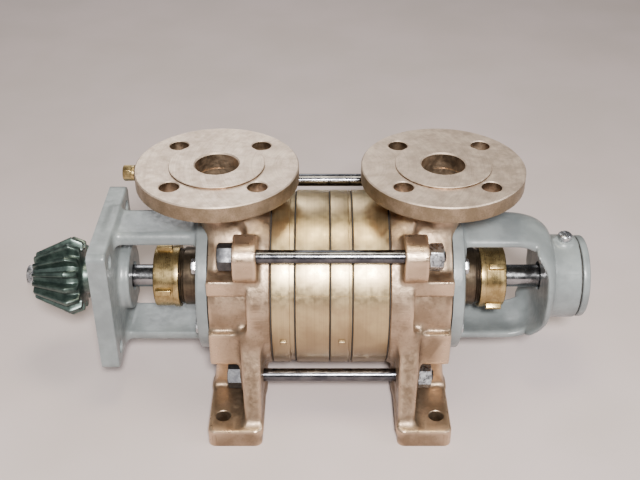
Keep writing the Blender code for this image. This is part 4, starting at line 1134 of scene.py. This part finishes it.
def bell_profile():
    """The bell's wall: outside from the flange to the hub, then back along the inside."""
    wall, inner, waist, floor, drop = 63.0, 54.0, 42.0, 33.0, 21.0
    shoulder, waist_x, floor_x = 171.0, 212.0, 203.0
    turns = [radians(a) for a in range(8, 90, 8)]
    outside = [(117, wall), (shoulder, wall)]
    outside += [(shoulder + (waist_x - shoulder) * sin(a), waist + drop * cos(a)) for a in turns]
    outside += [(waist_x, waist - 0.5), (waist_x + 3, HUB_RADIUS, 3), (HUB_END, HUB_RADIUS, 1.0)]
    inside = [(HUB_END, 8), (floor_x, 8), (floor_x, floor)]
    inside += [(shoulder + (floor_x - shoulder) * sin(a), floor + drop * cos(a))
               for a in reversed(turns)]
    inside += [(shoulder, inner), (117, inner)]
    return rounded(outside + inside)


def free_bracket():
    g = Casting((106, -74, -74), (244, 74, 74))
    x, y, z, r = g.x, g.y, g.z, g.radius
    fold_y = np.abs(y)
    g.add(g.turned(bell_profile()))
    boss = circle(x, y, 9, (GREASE_X, 0))
    g.add(extruded(boss, z, 30, GREASE_BOSS_TOP, 1.0), 5)
    open_side = np.maximum(rectangle(x, z, (60, -90), (192, 90), 10), BRACKET_OUTER + 3 - x)
    g.cut(extruded(open_side, fold_y, BELL_HALF_WIDTH, 110), 4)
    window = np.maximum(rectangle(x, z, (60, -49), (203, 49), 28), BRACKET_OUTER - x)
    g.cut(extruded(window, y, -110, 110), 5)
    g.add(extruded(r - BRACKET_RADIUS, x, BRACKET_INNER - 3, BRACKET_OUTER, 1.5), 7)
    obj = thinned(g.surface(), 0.5)
    boolean(obj, [merged([slab(BRACKET_INNER - 20, BRACKET_INNER), slab(HUB_END, HUB_END + 20)])])
    seat = low_of("free_bearing_outer_ring").x - 0.3
    bore = [(HUB_END + 2, 0), (HUB_END + 2, BEARING_SEAT + 2.6), (HUB_END - 0.6, BEARING_SEAT),
            (seat, BEARING_SEAT), (seat, 14), (204.5, 14), (200, 18.5), (200, 0)]
    boolean(obj, [merged([lathe(bore, 128)] + bracket_flange_drills(1))])
    boolean(obj, [merged(screw_holes(HUB_END, 1, CAP_SCREW_RADIUS)
                         + [cylinder(3.3, 27, GREASE_BOSS_TOP + 2, (GREASE_X, 0), "Z", 32)])])
    g.shade(obj)
    finish_piece(obj, "non_drive_end_bracket", "paint")


def thinned(obj, share):
    """Fewer triangles where the surface is flat."""
    step = obj.modifiers.new("thin", "DECIMATE")
    step.ratio = share
    return settle(obj)


def countersinks(x, side, circle_radius):
    """Seats for countersunk screws whose heads end flush with a face at x."""
    cone = [(x + side * 2, 0), (x + side * 2, 6.6), (x - side * 2.2, 2.4), (x - side * 9, 2.4),
            (x - side * 9, 0)]
    return merged([lathe(cone, 32, at=at) for at in screw_places(circle_radius)])


def cover_screws(prefix, x, side, circle_radius):
    """Slotted countersunk screws, which the frame holds only as holes."""
    body = [(x - side * 0.15, 0), (x - side * 0.15, 4.0, 0.3), (x - side * 2.0, 2.25),
            (x - side * 8, 2.25), (x - side * 8, 0)]
    low, high = sorted((x + side, x - side * 1.1))
    places = zip(COVER_SCREW_ANGLES, screw_places(circle_radius))
    for number, (angle, at) in enumerate(places, 1):
        screw = turned(body, 40, at=at)
        slot = prism([(-5, -0.5), (5, -0.5), (5, 0.5), (-5, 0.5)], low, high)
        slot.data.transform(Matrix.Translation((0, *at))
                            @ Matrix.Rotation(radians(angle * 1.7), 4, "X"))
        boolean(screw, [slot])
        finish_piece(screw, f"{prefix}_screw_{number}", "zinc", body="housing")


def covers():
    cap_low, cap_high = extent("bearing_end_cover")
    face = high_of("end_cover_gasket").x + 0.3
    rim, register = HUB_RADIUS - 0.8, BEARING_SEAT - 0.4
    cap = turned([(cap_high, 0), (cap_high, rim, 3.0), (face, rim, 1.8), (face, register),
                  (cap_low, register, 0.5), (cap_low, 21), (face, 21), (face, 0)], 144)
    boolean(cap, [countersinks(cap_high, 1, CAP_SCREW_RADIUS)])
    finish_piece(cap, "bearing_end_cover", "paint")
    cover_screws("end_cover", cap_high, 1, CAP_SCREW_RADIUS)

    low, high = extent("end_cover_gasket")
    edge = HUB_RADIUS - 2.2
    gasket = turned([(low, 27), (low, edge, 0.2), (high, edge, 0.2), (high, 27)], 144)
    boolean(gasket, [merged(screw_holes(high, 1, CAP_SCREW_RADIUS))])
    finish_piece(gasket, "end_cover_gasket", "paper")

    boss_end, back = extent("drive_bearing_cover")
    face, seal_seat, boss, rim = PLATE_OUTER + 0.2, 18.4, 23.5, 33.2
    cover = turned([(boss_end, 15, 0.5), (boss_end, boss, 1.2), (face, boss, 1.2), (face, rim, 0.6),
                    (back, rim), (back, 22), (-217.5, 22), (-217.5, seal_seat),
                    (-224.5, seal_seat), (-224.5, 15)], 128)
    boolean(cover, [countersinks(face, -1, COVER_SCREW_RADIUS)])
    finish_piece(cover, "drive_bearing_cover", "black")
    cover_screws("drive_cover", face, -1, COVER_SCREW_RADIUS)

    low, high = extent("drive_end_seal")
    lip = [(low, 14.2, 0.4), (low, 18.1, 0.5), (high, 18.1, 0.5), (high, 14.6, 0.5),
           ((low + high) / 2, 15.4)]
    finish_piece(turned(lip), "drive_end_seal", "rubber")


def small_fittings():
    rim_x = -PORT_X - FLANGE_RADIUS
    collar = [(rim_x - 3.8, 0), (rim_x - 3.8, 7.2, 0.6), (rim_x - 0.6, 7.2, 0.4),
              (rim_x - 0.6, 4.0)]
    collar += thread(4.0, rim_x + 0.5, rim_x + 10, 1.3, 0.6)
    collar += [(rim_x + 10.5, 3.0), (rim_x + 10.5, 0)]
    plug = turned(collar, 48, at=(0, PLUG_Z))
    boolean(plug, [hexagon_head(13, rim_x - 11, rim_x - 3.5, (0, PLUG_Z), chamfer_high=False,
                                turn=14)], "UNION")
    finish_piece(plug, "priming_plug", "brass")

    top, seat, foot = high_of("grease_screw").z, GREASE_BOSS_TOP + 0.3, 29.5
    shank, head = 3.0, 6.75
    screw = turned([(top, 0), (top, 5.2, 1.2), (top - 1.6, head, 0.8), (seat, head, 0.3),
                    (seat, shank), (foot, shank, 0.5), (foot, 0)], 64, "Z", (GREASE_X, 0))
    slot = prism([(-0.9, -8), (0.9, -8), (0.9, 8), (-0.9, 8)], top - 1.9, top + 2, "Z")
    slot.data.transform(Matrix.Translation((GREASE_X, 0, 0)) @ Matrix.Rotation(radians(14), 4, "Z"))
    boolean(screw, [slot])
    finish_piece(screw, "grease_screw", "zinc")


def gland_nut(side):
    """A screwed cap over the neck, with four ribs for the gland key."""
    skirt, body, mouth, wall, cap = 27.4, GLAND_RADIUS - 1.0, 13.5, GLAND_WALL, GLAND_OUTER - 2.5
    rim = [(GLAND_INNER, skirt, 0.3), (GLAND_INNER, GLAND_RADIUS, 0.8), (150, GLAND_RADIUS, 0.6),
           (150, body, 0.5), (GLAND_OUTER, body, 2.2), (GLAND_OUTER, 21, 0.6),
           (GLAND_OUTER - 0.8, 19.5, 0.5), (GLAND_OUTER - 0.8, mouth, 0.5), (wall, mouth),
           (wall, skirt)]
    nut = lathe(on_side(side, rounded(rim)), 128)
    root, tip = GLAND_RADIUS - 3, GLAND_RADIUS + 3.2
    low, high = sorted((side * 151.5, side * cap))
    ribs = []
    for i in range(4):
        rib = prism([(-3.2, root), (3.2, root), (2.7, tip), (-2.7, tip)], low, high, bevel=0.7)
        angle = radians(GLAND_FIRST_RIB[side] + 90 * i) - pi / 2
        rib.data.transform(Matrix.Rotation(angle, 4, "X"))
        ribs.append(rib)
    boolean(nut, [merged(ribs)], "UNION")
    return nut


def gland_follower(side):
    """The flanged bush that the nut pushes against the packing."""
    nose, bore, outside, flange, seat = 139.0, 11.4, 16.6, 24, GLAND_WALL - 0.3
    rim = [(nose, bore, 0.3), (nose, outside, 0.8), (157, outside, 0.4), (157, flange, 0.6),
           (seat, flange, 0.6), (seat, bore, 0.4)]
    return lathe(on_side(side, rounded(rim)))


def glands():
    for end, side in (("drive", -1), ("free", 1)):
        finish_piece(gland_nut(side), f"{end}_gland_nut", "brass")
        finish_piece(gland_follower(side), f"{end}_gland_follower", "brass")


# Half a tooth: (share of the pitch from the tooth's middle, height above the root)
FLANK = [(0.0, 1.0), (0.10, 1.0), (0.132, 0.975), (0.155, 0.91), (0.19, 0.70), (0.222, 0.46),
         (0.248, 0.25), (0.275, 0.09), (0.315, 0.01), (0.37, 0.0)]


def pinion():
    """The bevel pinion, one loft of many sections: bore, face, teeth, back, hub and bore again."""
    points = [(-a, h) for a, h in reversed(FLANK[1:])] + FLANK + [(0.5, 0.0)]
    bore, hub = 9.3, 17.0
    sections = [(PINION_SMALL_X + 0.4, bore, bore), (PINION_SMALL_X, bore + 0.5, bore + 0.5),
                (PINION_SMALL_X, 14.0, 14.0), (PINION_SMALL_X, 16.9, 22.4),
                (PINION_SMALL_X + 0.7, 17.3, 23.5)]
    steps = 5
    for i in range(1, steps + 1):
        t = i / steps
        x = PINION_SMALL_X + 0.7 + (PINION_LARGE_X - PINION_SMALL_X - 1.4) * t
        sections.append((x, 17.3 + 11.7 * t, 23.5 + 15.0 * t))
    sections += [(PINION_LARGE_X + 0.7, 29.2, 38.0), (PINION_BACK_X - 0.6, 26.6, 34.3),
                 (PINION_BACK_X, 26.0, 33.4), (PINION_BACK_X, 19.5, 19.5),
                 (PINION_BACK_X + 1.2, hub + 0.8, hub + 0.8), (PINION_BACK_X + 2.4, hub, hub),
                 (PINION_HUB_END - 0.8, hub, hub), (PINION_HUB_END, hub - 0.8, hub - 0.8),
                 (PINION_HUB_END, bore + 0.6, bore + 0.6), (PINION_HUB_END - 0.6, bore, bore)]
    made = bmesh.new()
    rings = []
    for x, root, tip in sections:
        ring = []
        for i in range(TEETH):
            for share, height in points:
                angle = 2 * pi * (i + share) / TEETH
                radius = root + (tip - root) * height
                ring.append(made.verts.new((x, radius * cos(angle), radius * sin(angle))))
        rings.append(ring)
    for low, high in zip(rings, rings[1:] + rings[:1]):
        for i in range(len(low)):
            j = (i + 1) % len(low)
            made.faces.new((low[i], low[j], high[j], high[i]))
    obj = from_bmesh("pinion", made)
    slot = [(-3.1, 4), (3.1, 4), (3.1, 11.5), (-3.1, 11.5)]
    boolean(obj, [prism(slot, PINION_SMALL_X - 3, PINION_HUB_END + 3)])
    finish_piece(obj, "bevel_pinion", "pinion", angle=40)


def pinion_fittings():
    """The washer and nut that hold the pinion, and the spacer behind it."""
    low, high = extent("pinion_washer")
    washer = [(low, 6.3, 0.2), (low, 11, 0.4), (high, 11, 0.3), (high, 6.3, 0.2)]
    finish_piece(turned(washer, 72), "pinion_washer", "zinc")
    low, high = extent("pinion_nut")
    nut = hexagon_head(18, low, high, turn=10)
    boolean(nut, [flared(6.15, low, high, along="X", chamfer=0.6, segments=48)])
    finish_piece(nut, "pinion_nut", "zinc")
    low, high = extent("pinion_spacer")
    rim = [(low, 10.3, 0.2), (low, 13.8, 0.5), (high, 13.8, 0.5), (high, 10.3, 0.2)]
    finish_piece(turned(rim, 72), "pinion_spacer", "shaft")


def shaft():
    """The ground shaft, its shoulders undercut and its drive end threaded."""
    low, high = extent("shaft")
    tip, pinion_seat, bearing_seat, body, wheel_seat = 6.0, 9.0, 10.0, 11.0, 12.0
    rim = [(low, 0), (low, tip - 1.4), (low + 1.2, tip)] + thread(tip, low + 1.6, -285, 1.6, 0.7)
    rim += [(-284, tip - 0.6), (-284, pinion_seat - 0.6), (-283.2, pinion_seat),
            (-229, pinion_seat), (-229, bearing_seat - 0.4), (-228.6, bearing_seat),
            (-199.4, bearing_seat), (-199.4, body - 0.6), (-198.8, body),
            (-64, body), (-64, wheel_seat - 0.4), (-63.6, wheel_seat),
            (63.6, wheel_seat), (64, wheel_seat - 0.4), (64, body),
            (212.5, body), (212.9, body - 0.6), (212.9, bearing_seat),
            (228.6, bearing_seat), (228.6, bearing_seat - 0.7), (230.2, bearing_seat - 0.7),
            (230.2, bearing_seat), (high - 0.8, bearing_seat), (high, bearing_seat - 0.8),
            (high, 0)]
    obj = lathe(rim)
    wheel_key = [(-4.1, 7.9), (4.1, 7.9), (4.1, 14), (-4.1, 14)]
    pinion_key = [(-3.1, 5.9), (3.1, 5.9), (3.1, 11), (-3.1, 11)]
    slots = [prism(wheel_key, *extent(wheel)) for wheel in ("impeller_1", "impeller_2")]
    slots.append(prism(pinion_key, -272, -240))
    boolean(obj, [merged(slots)])
    finish_piece(obj, "shaft", "shaft")


HIDDEN = {"bright_steel": "bearing", "cast_bronze": "bronze", "turned_bronze": "rings",
          "brass": "brass", "grey_paint": "paint", "black_steel": "black",
          "oiled_pinion_steel": "pinion", "black_rubber": "rubber", "gasket_paper": "paper",
          "graphite_packing": "packing"}


def finish_cad_nodes():
    """Gives the frame's own nodes that still show, deep inside the pump, their finish."""
    for name, node in frame["nodes"].items():
        if node.hide_render:
            continue
        node.data.materials.clear()
        node.data.materials.append(MATERIALS[HIDDEN[SLOT_OF[name]]])


def add_floor():
    bpy.ops.mesh.primitive_plane_add(size=8)
    floor = bpy.context.object
    floor.name = "floor"
    floor.data.materials.append(MATERIALS["floor"])


make_materials()
add_camera()
add_studio()
add_floor()
casings()
rings()
tie_bolts()
bracket_bolts()
drive_bracket()
free_bracket()
covers()
small_fittings()
glands()
pinion()
pinion_fittings()
shaft()
finish_cad_nodes()
